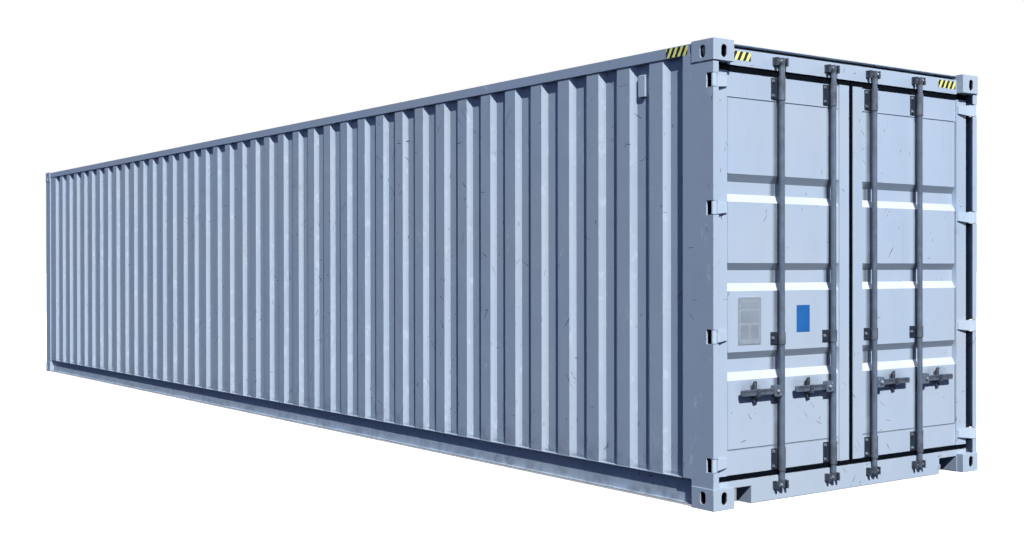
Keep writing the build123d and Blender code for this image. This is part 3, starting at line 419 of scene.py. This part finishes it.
def plywood():
    """Boards of marine ply, each with its own tone, grain along the box, wheel marks and worn varnish."""
    m = Mat("floor_ply")
    board = m.add("ShaderNodeTexBrick", offset=0.5)
    m.link(m.co, board.inputs["Vector"])
    board.inputs["Color1"].default_value = (0.20, 0.20, 0.20, 1)
    board.inputs["Color2"].default_value = (0.85, 0.85, 0.85, 1)
    board.inputs["Mortar"].default_value = (0, 0, 0, 1)
    board.inputs["Scale"].default_value = 1.0
    board.inputs["Mortar Size"].default_value = 0.0022
    board.inputs["Brick Width"].default_value = 2.4
    board.inputs["Row Height"].default_value = 0.5848
    tone = m.add("ShaderNodeSeparateColor")
    m.link(board.outputs["Color"], tone.inputs[0])
    grain = m.noise(m.mapped(m.co, scale=(3.0, 60.0, 60.0)), 1.0, 5.0, 0.65, distort=0.6)
    knots = m.noise(m.mapped(m.co, scale=(1.2, 7.0, 7.0)), 1.0, 3.0, 0.6, distort=1.2)
    col = m.mix(m.step(grain, 0.3, 0.7), (0.115, 0.055, 0.028), (0.30, 0.165, 0.085))
    col = m.mix(times(m, tone.outputs[0], 0.45), col, (0.36, 0.22, 0.125))
    col = m.mix(m.step(knots, 0.52, 0.72, 0.0, 0.45), col, (0.10, 0.05, 0.028))
    wheels = m.noise(m.mapped(m.co, scale=(0.5, 6.0, 1.0)), 1.0, 4.0, 0.6)
    col = m.mix(m.step(wheels, 0.55, 0.75, 0.0, 0.5), col, (0.06, 0.052, 0.045))
    seam = board.outputs["Fac"]
    col = m.mix(seam, col, (0.012, 0.010, 0.009))
    r = m.math("MULTIPLY_ADD", m.step(wheels, 0.45, 0.7), 0.25, 0.38)
    h = total(m, times(m, grain, 0.35), times(m, seam, -1.6))
    return m.surface(col, r, height=h, depth=0.001)


def plate_metal():
    m = Mat("plate_metal")
    brush = m.noise(m.mapped(m.co, scale=(1.0, 12.0, 900.0)), 1.0, 2.0, 0.5)
    mid = m.noise(m.co, 30.0, 4.0, 0.6)
    col = m.mix(m.step(brush, 0.3, 0.7), (0.275, 0.320, 0.370), (0.345, 0.395, 0.450))
    col = m.mix(m.step(mid, 0.5, 0.75, 0.0, 0.4), col, (0.19, 0.225, 0.265))
    return m.surface(col, m.math("MULTIPLY_ADD", mid, 0.25, 0.36), height=brush, depth=0.00006, bevel=0.001,
                     metallic=0.15)


def coating():
    """Dark wax coating under the floor, with road dust."""
    m = Mat("under_coating")
    mid = m.noise(m.co, 7.0, 5.0, 0.65)
    fine = m.noise(m.co, 80.0, 3.0, 0.6)
    col = m.mix(m.step(mid, 0.35, 0.7), (0.028, 0.028, 0.030), (0.075, 0.068, 0.060))
    col = m.mix(times(m, m.step(fine, 0.55, 0.72), 0.5), col, (0.13, 0.085, 0.055))
    return m.surface(col, m.math("MULTIPLY_ADD", mid, 0.25, 0.5), height=total(m, mid, times(m, fine, 0.3)),
                     depth=0.0012, bevel=0.002)


def film(name, rgb, worn, edge=0.5):
    """Adhesive film or stencil paint, faded and worn through in spots."""
    m = Mat(name)
    mid = m.noise(m.co, 40.0, 4.0, 0.65)
    slow = m.noise(m.co, 5.0, 2.0, 0.5)
    col = m.mix(m.step(slow, 0.35, 0.65), tuple(c * 0.90 for c in rgb), tuple(min(1.0, c * 1.06) for c in rgb))
    col = m.mix(m.step(mid, 0.60, 0.72, 0.0, edge), col, worn)
    return m.surface(col, m.math("MULTIPLY_ADD", mid, 0.2, 0.36), height=mid, depth=0.0002)


M["seal"] = rubber()
M["ply"] = plywood()
M["plate"] = plate_metal()
M["under"] = coating()
M["yellow"] = film("stripe_yellow", (0.76, 0.80, 0.24), (0.55, 0.60, 0.40))
M["black"] = film("stripe_black", (0.012, 0.013, 0.016), (0.06, 0.06, 0.06))
M["blue"] = film("patch_blue", (0.014, 0.115, 0.345), (0.09, 0.20, 0.40), edge=0.35)
M["vent"] = paint("vent_paint", dents=0.1, marks=0.5, bevel=0.0015, streaks=0.3)
M["weld"] = paint("weld_paint", dents=0.0, marks=0.2, rgb=tuple(c * 0.82 for c in PAINT))
M["plate_dark"] = film("plate_field", (0.235, 0.275, 0.325), (0.30, 0.34, 0.39), edge=0.4)
M["seam"] = film("seam_sealant", (0.060, 0.078, 0.112), (0.22, 0.27, 0.33), edge=0.7)
M["seam_pale"] = film("seam_pale", (0.290, 0.345, 0.415), (0.36, 0.43, 0.51), edge=0.7)

for name, node in NODES.items():
    if name.startswith("corner_castings"):
        mat = M["cast"]
    elif name.startswith("side_wall") or name == "front_wall":
        mat = M["wall"]
    elif name == "roof":
        mat = M["roof"]
    elif name.startswith(("door_frame", "door_panel")):
        mat = M["door"]
    elif name.startswith("hinge_blades"):
        mat = M["blade"]
    elif name.startswith("door_gasket"):
        mat = M["seal"]
    elif name.startswith("bottom_side_rail"):
        mat = M["rail"]
    elif name == "floor_boards":
        mat = M["ply"]
    elif name == "cross_members":
        mat = M["under"]
    elif name.startswith("rod_brackets"):
        mat = M["bracket"]
    elif name.startswith("cam_keepers"):
        mat = M["keeper"]
    elif name.startswith("handle_catches"):
        mat = M["catch"]
    elif name.startswith("handle_"):
        mat = M["handle"]
    elif name.startswith("lock_rod"):
        mat = M["rod"]
    elif name == "data_plate":
        mat = M["plate"]
    elif name == "side_vents":
        mat = M["vent"]
    else:
        mat = M["frame"]
    node.data.materials.clear()
    node.data.materials.append(mat)


# ---------------------------------------------------------------------------
# Mesh helpers
# ---------------------------------------------------------------------------
def piece(name, verts, faces, body, mat, smooth=None):
    me = bpy.data.meshes.new(name)
    me.from_pydata([tuple(v) for v in verts], [], faces)
    bm = bmesh.new()
    bm.from_mesh(me)
    bmesh.ops.recalc_face_normals(bm, faces=bm.faces)
    bm.to_mesh(me)
    bm.free()
    me.update()
    o = bpy.data.objects.new(name, me)
    bpy.context.scene.collection.objects.link(o)
    me.materials.append(mat)
    if smooth:
        for p in me.polygons:
            p.use_smooth = True
        me.set_sharp_from_angle(angle=math.radians(smooth))
    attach(o, body)
    return o


class Batch:
    """Many small closed shapes gathered into one mesh."""

    def __init__(self):
        self.v, self.f = [], []

    def extend(self, verts, faces):
        n = len(self.v)
        self.v += [Vector(p) for p in verts]
        self.f += [tuple(i + n for i in f) for f in faces]

    def lathe(self, base, normal, rings, count=16, turn=0.0):
        """Rings of (height along the normal, radius), closed at both ends."""
        n = Vector(normal).normalized()
        t = n.orthogonal().normalized()
        b = n.cross(t)
        base = Vector(base)
        verts, faces = [], []
        for h, r in rings:
            for k in range(count):
                a = turn + 2 * math.pi * k / count
                verts.append(base + n * h + (t * math.cos(a) + b * math.sin(a)) * r)
        for i in range(len(rings) - 1):
            for k in range(count):
                k2 = (k + 1) % count
                faces.append((i * count + k, i * count + k2, (i + 1) * count + k2, (i + 1) * count + k))
        faces.append(tuple(range(count))[::-1])
        faces.append(tuple((len(rings) - 1) * count + k for k in range(count)))
        self.extend(verts, faces)

    def bolt(self, base, normal, r=0.0085, h=0.0065, turn=0.3):
        """Hexagon head with a chamfer, on a washer."""
        self.lathe(base, normal, [(0.0, r * 1.36), (0.0014, r * 1.36), (0.002, r * 1.28)], 20)
        self.lathe(Vector(base) + Vector(normal).normalized() * 0.002, normal,
                   [(0.0, r), (h - 0.0016, r), (h, r * 0.82)], 6, turn)

    def rivet(self, base, normal, r=0.004, h=0.002):
        self.lathe(base, normal, [(0, r), (h * 0.35, r), (h * 0.75, r * 0.8), (h, r * 0.45)], 12)

    def prism(self, poly, axis, depth):
        """A flat polygon (list of points) pushed along a vector."""
        n = len(poly)
        d = Vector(axis).normalized() * depth
        verts = [Vector(p) for p in poly] + [Vector(p) + d for p in poly]
        faces = [tuple(range(n))[::-1], tuple(range(n, 2 * n))]
        faces += [(i, (i + 1) % n, (i + 1) % n + n, i + n) for i in range(n)]
        self.extend(verts, faces)

    def bead(self, path, r, closed=False, ripple=0.18, pitch=0.006, flat=0.75, seed=1, count=8):
        """A weld bead: a tube with a rippled, slightly wandering outline."""
        rnd = random.Random(seed)
        pts = [Vector(p) for p in path]
        dense = []
        for a, b in zip(pts, pts[1:]):
            k = max(1, int((b - a).length / pitch))
            dense += [a.lerp(b, i / k) for i in range(k)]
        dense.append(pts[-1])
        verts, faces = [], []
        for i, p in enumerate(dense):
            a = dense[max(0, i - 1)]
            b = dense[min(len(dense) - 1, i + 1)]
            t = (b - a).normalized()
            n = t.orthogonal().normalized()
            if i and n.dot(last) < 0:
                n = -n
            last = n
            s = t.cross(n)
            rr = r * (1 + ripple * (0.5 if i % 2 else -0.5) + rnd.uniform(-0.10, 0.10))
            if i in (0, len(dense) - 1):
                rr *= 0.4
            for k in range(count):
                w = 2 * math.pi * k / count
                verts.append(p + n * math.cos(w) * rr + s * math.sin(w) * rr * flat)
        for i in range(len(dense) - 1):
            for k in range(count):
                k2 = (k + 1) % count
                faces.append((i * count + k, i * count + k2, (i + 1) * count + k2, (i + 1) * count + k))
        faces.append(tuple(range(count))[::-1])
        faces.append(tuple((len(dense) - 1) * count + k for k in range(count)))
        self.extend(verts, faces)

    def make(self, name, body, mat, slot, smooth=None):
        return piece(name, self.v, self.f, body, mat, smooth)


LEAF_TOP_WELD, LEAF_LOW_WELD = 2.2905, 0.3122
DOORS = {"left": (-1, "left_door"), "right": (1, "right_door")}

# ---------------------------------------------------------------------------
# Hazard stripes on the headers and top rails
# ---------------------------------------------------------------------------
def stripes(name, origin, along, up, normal, length, height, body, bars):
    """A band of slanted bars. origin is the band's lower corner on the surface."""
    o, a, u, n = Vector(origin), Vector(along), Vector(up), Vector(normal)
    base = Batch()
    base.prism([o, o + a * length, o + a * length + u * height, o + u * height], n, 0.0004)
    base.make(name + "_ground", body, M["yellow"], "painted_steel")
    dark = Batch()
    lean = height * 0.55
    width = length / (2 * bars)
    for k in range(bars + 1):
        s0 = length * k / bars - width * 0.8
        quad = []
        for s, h in ((s0, 0), (s0 + width, 0), (s0 + width + lean, height), (s0 + lean, height)):
            quad.append((s, h))
        # clip to the band
        poly = clip(quad, 0.0, length)
        if len(poly) > 2:
            dark.prism([o + a * s + u * h + n * 0.0004 for s, h in poly], n, 0.0003)
    dark.make(name + "_bars", body, M["black"], "painted_steel")


def clip(poly, lo, hi):
    for edge, keep in ((lo, 1), (hi, -1)):
        out = []
        for i, p in enumerate(poly):
            q = poly[(i + 1) % len(poly)]
            pin = (p[0] - edge) * keep >= -1e-9
            qin = (q[0] - edge) * keep >= -1e-9
            if pin:
                out.append(p)
            if pin != qin:
                t = (edge - p[0]) / (q[0] - p[0])
                out.append((edge, p[1] + t * (q[1] - p[1])))
        poly = out
    return poly


stripes("stripes_header_left", (FACE_X, -1.0565, 2.497), (0, 1, 0), (0, 0, 1), (1, 0, 0), 0.182, 0.050, "box_frame", 4)
stripes("stripes_header_right", (FACE_X, 0.862, 2.497), (0, 1, 0), (0, 0, 1), (1, 0, 0), 0.182, 0.050, "box_frame", 4)
for side, s in (("left", -1), ("right", 1)):
    for end, x0 in (("door", XE - 0.386),):
        stripes(f"stripes_rail_{side}_{end}", (x0, s * YP, 2.525), (1, 0, 0), (0, 0, 1), (0, s, 0),
                0.174, 0.054, "box_frame", 4)

# ---------------------------------------------------------------------------
# Bolts on the rod brackets
# ---------------------------------------------------------------------------
for name, (s, body) in DOORS.items():
    b = Batch()
    for yr in (s * 0.191, s * 0.640):
        for z0, z1 in ((0.168, 0.304), (2.294, 2.430)):
            for dy in (-0.040, 0.040):
                for z in (z0 + 0.026, z1 - 0.026):
                    b.bolt((PANEL_X + 0.006, yr + dy, z), (1, 0, 0), turn=z * 7)
        for dy in (-0.045, 0.045):
            for z in (0.9295,):
                b.bolt((PANEL_X + 0.006, yr + dy, z), (1, 0, 0), turn=z * 5 + dy)
    b.make(f"bracket_bolts_{name}", body, M["bolt"], "lock_gear")

# ---------------------------------------------------------------------------
# Lock gear: hasps on the handles, bolts on hubs, cams, keepers and catches
# ---------------------------------------------------------------------------
def plate_yz(b, x, thick, pts):
    """An upright plate: its outline in (y, z), its back at x."""
    b.prism([(x, y, z) for y, z in pts], (1, 0, 0), thick)


for i, yr in enumerate(ROD_Y, start=1):
    s = -1 if yr < 0 else 1
    yc = yr + s * 0.206
    # hasp: a bent strap in front of the bar, with a rivet
    b = Batch()
    plate_yz(b, 6.0742, 0.0026, [(yc - 0.011, 0.6150), (yc + 0.011, 0.6150), (yc + 0.011, 0.6440), (yc - 0.011, 0.6440)])
    plate_yz(b, 6.0770, 0.0042, [(yc - 0.013, 0.6030), (yc + 0.013, 0.6030), (yc + 0.0135, 0.6200), (yc + 0.0135, 0.6430),
                                (yc + 0.0090, 0.6500), (yc - 0.0090, 0.6500), (yc - 0.0135, 0.6430), (yc - 0.0135, 0.6200)])
    b.rivet((6.0812, yc, 0.632), (1, 0, 0), r=0.0062, h=0.0030)
    b.make(f"hasp_{i}", f"lever_{i}", M["catch"], "lock_gear")
    # grip ridges on the bar
    g = Batch()
    ya, yb = yr + s * 0.262, yr + s * 0.322
    for k in range(5):
        y = ya + (yb - ya) * k / 4
        g.prism([(6.0710, y - 0.0022, 0.6236), (6.0710, y + 0.0022, 0.6236), (6.0710, y + 0.0022, 0.6364),
                 (6.0710, y - 0.0022, 0.6364)], (1, 0, 0), 0.0022)
    g.make(f"grip_{i}", f"lever_{i}", M["handle"], "lock_gear")
    # bright bolt heads on the hub and the cams
    h = Batch()
    h.bolt((6.0855, yr + s * 0.050, HAND_Z), (1, 0, 0), r=0.0088, h=0.0050, turn=0.2 + i)
    for z, r in ((HAND_Z + 0.020, 0.0042), (HAND_Z - 0.019, 0.0042)):
        h.rivet((6.0805, yr + s * 0.026, z), (1, 0, 0), r=r, h=0.0022)
    h.make(f"hub_bolt_{i}", f"rod_{i}", M["bright"], "lock_gear")
    c = Batch()
    cam_n = Vector((0.945, s * 0.327, 0.0))
    for z in (0.090, 2.518):
        c.bolt((6.0757, yr + s * 0.0155, z), cam_n, r=0.0068, h=0.0046, turn=z)
    c.make(f"cam_bolt_{i}", f"rod_{i}", M["bright"], "lock_gear")
    # weld collars where the cams meet the rod
    w = Batch()
    for k, z in enumerate((0.1062, 2.5018)):
        path = []
        for a in range(0, 25):
            w_a = 2 * math.pi * a / 24
            path.append((ROD_X + 0.0172 * math.cos(w_a), yr + 0.0172 * math.sin(w_a), z))
        w.bead(path, 0.0022, seed=10 * i + k, pitch=0.0045, count=6)
    w.make(f"cam_weld_{i}", f"rod_{i}", M["rod"], "lock_gear", smooth=50)

for name, (s, body) in DOORS.items():
    b = Batch()
    for yr in (s * 0.191, s * 0.640):
        yc = yr + s * 0.206
        for dz in (-0.024, 0.026):
            for dy in (-0.0125, 0.0125):
                b.rivet((PANEL_X + 0.005, yc + dy, 0.634 + dz), (1, 0, 0), r=0.0035, h=0.0022)
        b.rivet((6.054, yc, 0.674), (1, 0, 0), r=0.0055, h=0.0020)
    b.make(f"catch_rivets_{name}", body, M["bolt"], "lock_gear")

for level, z in (("bottom", 0.088), ("top", 2.515)):
    b = Batch()
    for yr in ROD_Y:
        for q in (-1, 1):
            b.lathe((6.079, yr + q * 0.0395, z), (1, 0, 0), [(0.0, 0.0052), (0.0012, 0.0052), (0.0020, 0.0040)], 12)
    b.make(f"keeper_pins_{level}", "box_frame", M["bolt"], "lock_gear")

# pins of the door hinges: a head above each upper lug hole and one below
for name, (s, body) in DOORS.items():
    b = Batch()
    for zc in HINGE_Z:
        for z, n in ((zc + 0.0395, -1), (zc - 0.0395, 1)):
            b.lathe((HINGE_X, s * HINGE_Y, z), (0, 0, n), [(0.0, 0.0092), (0.0016, 0.0092), (0.0024, 0.0078)], 16)
    b.make(f"hinge_pin_heads_{name}", "box_frame", M["bolt"], "painted_steel")

# ---------------------------------------------------------------------------
# Doors: weld lines round the panels, sealing strip edges, patch and plate
# ---------------------------------------------------------------------------
def strip(b, x, thick, y0, y1, z0, z1, chamfer=0.0006):
    """A thin flat strip on a door face, with a narrower front."""
    c = min(chamfer, abs(y1 - y0) * 0.3, abs(z1 - z0) * 0.3)
    back = [(x, y0, z0), (x, y1, z0), (x, y1, z1), (x, y0, z1)]
    front = [(x + thick, y0 + c, z0 + c), (x + thick, y1 - c, z0 + c), (x + thick, y1 - c, z1 - c),
             (x + thick, y0 + c, z1 - c)]
    b.extend(back + front, [(3, 2, 1, 0), (4, 5, 6, 7), (0, 1, 5, 4), (1, 2, 6, 5), (2, 3, 7, 6), (3, 0, 4, 7)])


TROUGHS = ((1.861, 1.704), (1.361, 1.203), (0.861, 0.702))
for name, (s, body) in DOORS.items():
    dark, side_edge = Batch(), Batch()
    for z in (2.2868, 0.3160):
        strip(dark, PANEL_X, 0.0009, min(s * 0.108, s * 1.058), max(s * 0.108, s * 1.058), z - 0.0022, z + 0.0022)
    edges = [0.3185] + [z for a, b_ in reversed(TROUGHS) for z in (b_, a)] + [2.2845]
    for za, zb in zip(edges[0::2], edges[1::2]):
        yi = 1.0440 if s < 0 else 1.0545
        strip(side_edge, PANEL_X, 0.0009, min(s * yi, s * 1.0595), max(s * yi, s * 1.0595), za, zb)
    dark.make(f"panel_seam_{name}", body, M["seam"], "painted_steel")
    side_edge.make(f"panel_side_seam_{name}", body, M["seam_pale" if s < 0 else "seam"], "painted_steel")
    weld = Batch()
    for k, (za, zb) in enumerate(zip(edges[0::2], edges[1::2])):
        weld.bead([(PANEL_X + 0.0002, s * 0.1062, za + 0.003), (PANEL_X + 0.0002, s * 0.1062, zb - 0.003)], 0.0028,
                  seed=30 + k, pitch=0.007, count=6)
    for z in (LEAF_TOP_WELD, LEAF_LOW_WELD):
        weld.bead([(PANEL_X + 0.0002, s * 0.112, z), (PANEL_X + 0.0002, s * 1.054, z)], 0.0019, seed=50, pitch=0.009,
                  count=6)
    weld.make(f"panel_weld_{name}", body, M["door"], "painted_steel", smooth=60)

# plain blue film patch on the left leaf
patch = Batch()
strip(patch, PANEL_X, 0.0005, -0.477, -0.362, 0.957, 1.116, chamfer=0.0004)
patch.make("film_patch", "left_door", M["blue"], "painted_steel")

# data plate: pressed rim, blank fields and rivets
b = Batch()
yc, zc, w, h = -0.872, 1.034, 0.093, 0.134
for y0, y1, z0, z1 in ((yc - w + 0.005, yc + w - 0.005, zc + h - 0.009, zc + h - 0.006),
                       (yc - w + 0.005, yc + w - 0.005, zc - h + 0.006, zc - h + 0.009),
                       (yc - w + 0.005, yc - w + 0.008, zc - h + 0.009, zc + h - 0.009),
                       (yc + w - 0.008, yc + w - 0.005, zc - h + 0.009, zc + h - 0.009)):
    strip(b, PANEL_X + 0.003, 0.0008, y0, y1, z0, z1, chamfer=0.0006)
b.make("plate_rim", "left_door", M["plate"], "plate_metal")
b = Batch()
for y0, y1, z0, z1 in ((yc - 0.072, yc + 0.072, zc + 0.070, zc + 0.104), (yc - 0.072, yc + 0.072, zc - 0.010, zc + 0.056),
                       (yc - 0.072, yc - 0.004, zc - 0.104, zc - 0.024), (yc + 0.006, yc + 0.072, zc - 0.104, zc - 0.024)):
    strip(b, PANEL_X + 0.003, 0.0003, y0, y1, z0, z1, chamfer=0.0002)
b.make("plate_fields", "left_door", M["plate_dark"], "plate_metal")
b = Batch()
for sy in (-1, 1):
    for dz in (-1, 0, 1):
        b.rivet((PANEL_X + 0.003, yc + sy * (w - 0.0125), zc + dz * (h - 0.0165)), (1, 0, 0), r=0.0034, h=0.0022)
b.make("plate_rivets", "left_door", M["bright"], "plate_metal")

# ---------------------------------------------------------------------------
# Posts, castings and sill: welds and joints
# ---------------------------------------------------------------------------
for name, s in (("left", -1), ("right", 1)):
    w = Batch()
    for sx, x_in in ((1, XC), (-1, -XC)):
        # casting to post, on the side face and on the end face
        for k, z in enumerate((0.1185, 2.4725)):
            w.bead([(sx * 5.924, s * 1.2150, z), (sx * 6.083, s * 1.2150, z)], 0.0032, seed=60 + k, pitch=0.007, count=6)
            if sx == 1:
                w.bead([(6.0878, s * 1.1760, z), (6.0878, s * 1.2120, z)], 0.0030, seed=64 + k, pitch=0.007, count=6)
            # rail to casting
        w.bead([(sx * 5.9178, s * YP, 2.5250), (sx * 5.9178, s * YP, 2.5815)], 0.0028, seed=70, pitch=0.007, count=6)
    w.make(f"corner_welds_{name}", "box_frame", M["weld"], "painted_steel", smooth=60)
    # seam between wall and post plate
    m_ = Batch()
    m_.bead([(5.8495, s * 1.2070, 0.160), (5.8495, s * 1.2070, 2.520)], 0.0035, seed=80, pitch=0.012, count=6)
    m_.make(f"wall_seam_{name}", "box_frame", M["weld"], "painted_steel", smooth=60)
    # dark joint on the side of the bottom casting by the sill
    d = Batch()
    for sx in (1,):
        d.prism([(6.0465, s * YC, 0.006), (6.0490, s * YC, 0.006), (6.0490, s * YC, 0.112), (6.0465, s * YC, 0.112)],
                (0, -s, 0), 0.0006)
    d.make(f"casting_joint_{name}", "box_frame", M["seam"], "painted_steel")

# floor board screws
b = Batch()
for k in range(28):
    x = (k - 13.5) * 0.420 + 0.0225
    if abs(x) > 5.86:
        continue
    for j in range(12):
        y = (j - 5.5) * 0.195
        b.lathe((x, y, 0.1695), (0, 0, 1), [(0.0, 0.0052), (0.0007, 0.0052), (0.0009, 0.0036), (0.0005, 0.0022)], 8)
b.make("floor_screws", "box_frame", M["bolt"], "plywood_floor")

# screws of the side vents
for s, k in ((-1, 1), (1, 39)):
    xc = XE - (WAVE_FIRST + WAVE_PITCH * k + WAVE_RUN + WAVE_FLAT / 2) + 0.008
    b = Batch()
    y0 = s * (WALL_IN + 0.017)
    for dz in (2.344, 2.448):
        for dx in (-0.022, 0.022):
            b.rivet((xc + dx, y0, dz), (0, s, 0), r=0.0026, h=0.0014)
    b.make("vent_screws_left" if s < 0 else "vent_screws_right", "box_frame", M["vent"], "vent_hood")

# ---------------------------------------------------------------------------
# Floor, light, camera
# ---------------------------------------------------------------------------
floor_me = bpy.data.meshes.new("studio_floor")
floor_me.from_pydata([(-400, -400, 0), (400, -400, 0), (400, 400, 0), (-400, 400, 0)], [], [(0, 1, 2, 3)])
studio_floor = bpy.data.objects.new("studio_floor", floor_me)
bpy.context.scene.collection.objects.link(studio_floor)
fm = Mat("floor_pale")
fm.bsdf.inputs["Base Color"].default_value = (0.86, 0.87, 0.88, 1)
fm.bsdf.inputs["Roughness"].default_value = 0.9
fm.bsdf.inputs["Specular IOR Level"].default_value = 0.1
fm.bsdf.inputs["Emission Color"].default_value = (0.93, 0.96, 1.0, 1)
fm.bsdf.inputs["Emission Strength"].default_value = 0.42
fm.m.cycles.emission_sampling = "NONE"
floor_me.materials.append(fm.m)
studio_floor.visible_diffuse = False
studio_floor.visible_glossy = False

world = bpy.data.worlds.new("studio")
bpy.context.scene.world = world
world.use_nodes = True
wt = world.node_tree
wt.nodes.clear()
w_out = wt.nodes.new("ShaderNodeOutputWorld")
w_cam = wt.nodes.new("ShaderNodeBackground")
w_cam.inputs[0].default_value = (1, 1, 1, 1)
w_cam.inputs[1].default_value = 1.0
w_fill = wt.nodes.new("ShaderNodeBackground")
w_fill.inputs[1].default_value = 1.0
w_co = wt.nodes.new("ShaderNodeTexCoord")
w_sep = wt.nodes.new("ShaderNodeSeparateXYZ")
wt.links.new(w_co.outputs["Generated"], w_sep.inputs[0])
w_ramp = wt.nodes.new("ShaderNodeMapRange")
w_ramp.interpolation_type = "SMOOTHSTEP"
w_ramp.inputs[1].default_value, w_ramp.inputs[2].default_value = -0.06, 0.10
wt.links.new(w_sep.outputs[2], w_ramp.inputs[0])
w_tone = wt.nodes.new("ShaderNodeMix")
w_tone.data_type = "RGBA"
w_tone.inputs[6].default_value = (0.014, 0.018, 0.030, 1)
w_tone.inputs[7].default_value = (0.160, 0.210, 0.400, 1)
wt.links.new(w_ramp.outputs[0], w_tone.inputs[0])
wt.links.new(w_tone.outputs[2], w_fill.inputs[0])
w_path = wt.nodes.new("ShaderNodeLightPath")
w_mix = wt.nodes.new("ShaderNodeMixShader")
wt.links.new(w_path.outputs["Is Camera Ray"], w_mix.inputs[0])
wt.links.new(w_fill.outputs[0], w_mix.inputs[1])
wt.links.new(w_cam.outputs[0], w_mix.inputs[2])
wt.links.new(w_mix.outputs[0], w_out.inputs[0])


def aim(o, target):
    d = Vector(target) - o.location
    o.rotation_euler = d.to_track_quat("-Z", "Y").to_euler()


def sun(name, to_light, strength, angle, colour):
    l = bpy.data.lights.new(name, "SUN")
    l.energy = strength
    l.angle = math.radians(angle)
    l.color = colour
    o = bpy.data.objects.new(name, l)
    o.location = Vector(to_light) * 30
    aim(o, (0, 0, 0))
    bpy.context.scene.collection.objects.link(o)
    return o


def area(name, at, target, size, power, colour):
    l = bpy.data.lights.new(name, "AREA")
    l.shape = "RECTANGLE"
    l.size, l.size_y = size
    l.energy = power
    l.color = colour
    o = bpy.data.objects.new(name, l)
    o.location = at
    aim(o, target)
    bpy.context.scene.collection.objects.link(o)
    return o


sun("key", (0.6826, -0.2968, 0.6677), 5.75, 0.8, (1.0, 1.0, 1.0))
area("far_side", (2, 22, 9), (0, 1.2, 1.3), (22, 9), 4200, (0.95, 0.97, 1.0))
area("front_end", (-26, 4, 8), (-6, 0, 1.3), (12, 8), 2600, (0.95, 0.97, 1.0))

cam = bpy.data.cameras.new("camera")
cam_o = bpy.data.objects.new("camera", cam)
bpy.context.scene.collection.objects.link(cam_o)
bpy.context.scene.camera = cam_o
yaw, pitch, roll = 2.50851447, -0.003965639, -0.001247094
fw = Vector((math.cos(pitch) * math.cos(yaw), math.cos(pitch) * math.sin(yaw), math.sin(pitch)))
right = Vector((math.sin(yaw), -math.cos(yaw), 0.0))
up = right.cross(fw)
r2 = right * math.cos(roll) + up * math.sin(roll)
u2 = up * math.cos(roll) - right * math.sin(roll)
cam_o.matrix_world = Matrix(((r2.x, u2.x, -fw.x, 11.09005), (r2.y, u2.y, -fw.y, -6.24961),
                             (r2.z, u2.z, -fw.z, 1.32919), (0, 0, 0, 1)))
cam.sensor_width = 36.0
cam.lens = 45.135
cam.clip_start, cam.clip_end = 0.1, 900.0
bpy.context.scene.view_settings.view_transform = "Standard"
bpy.context.scene.view_settings.look = "None"

bpy.context.view_layer.update()
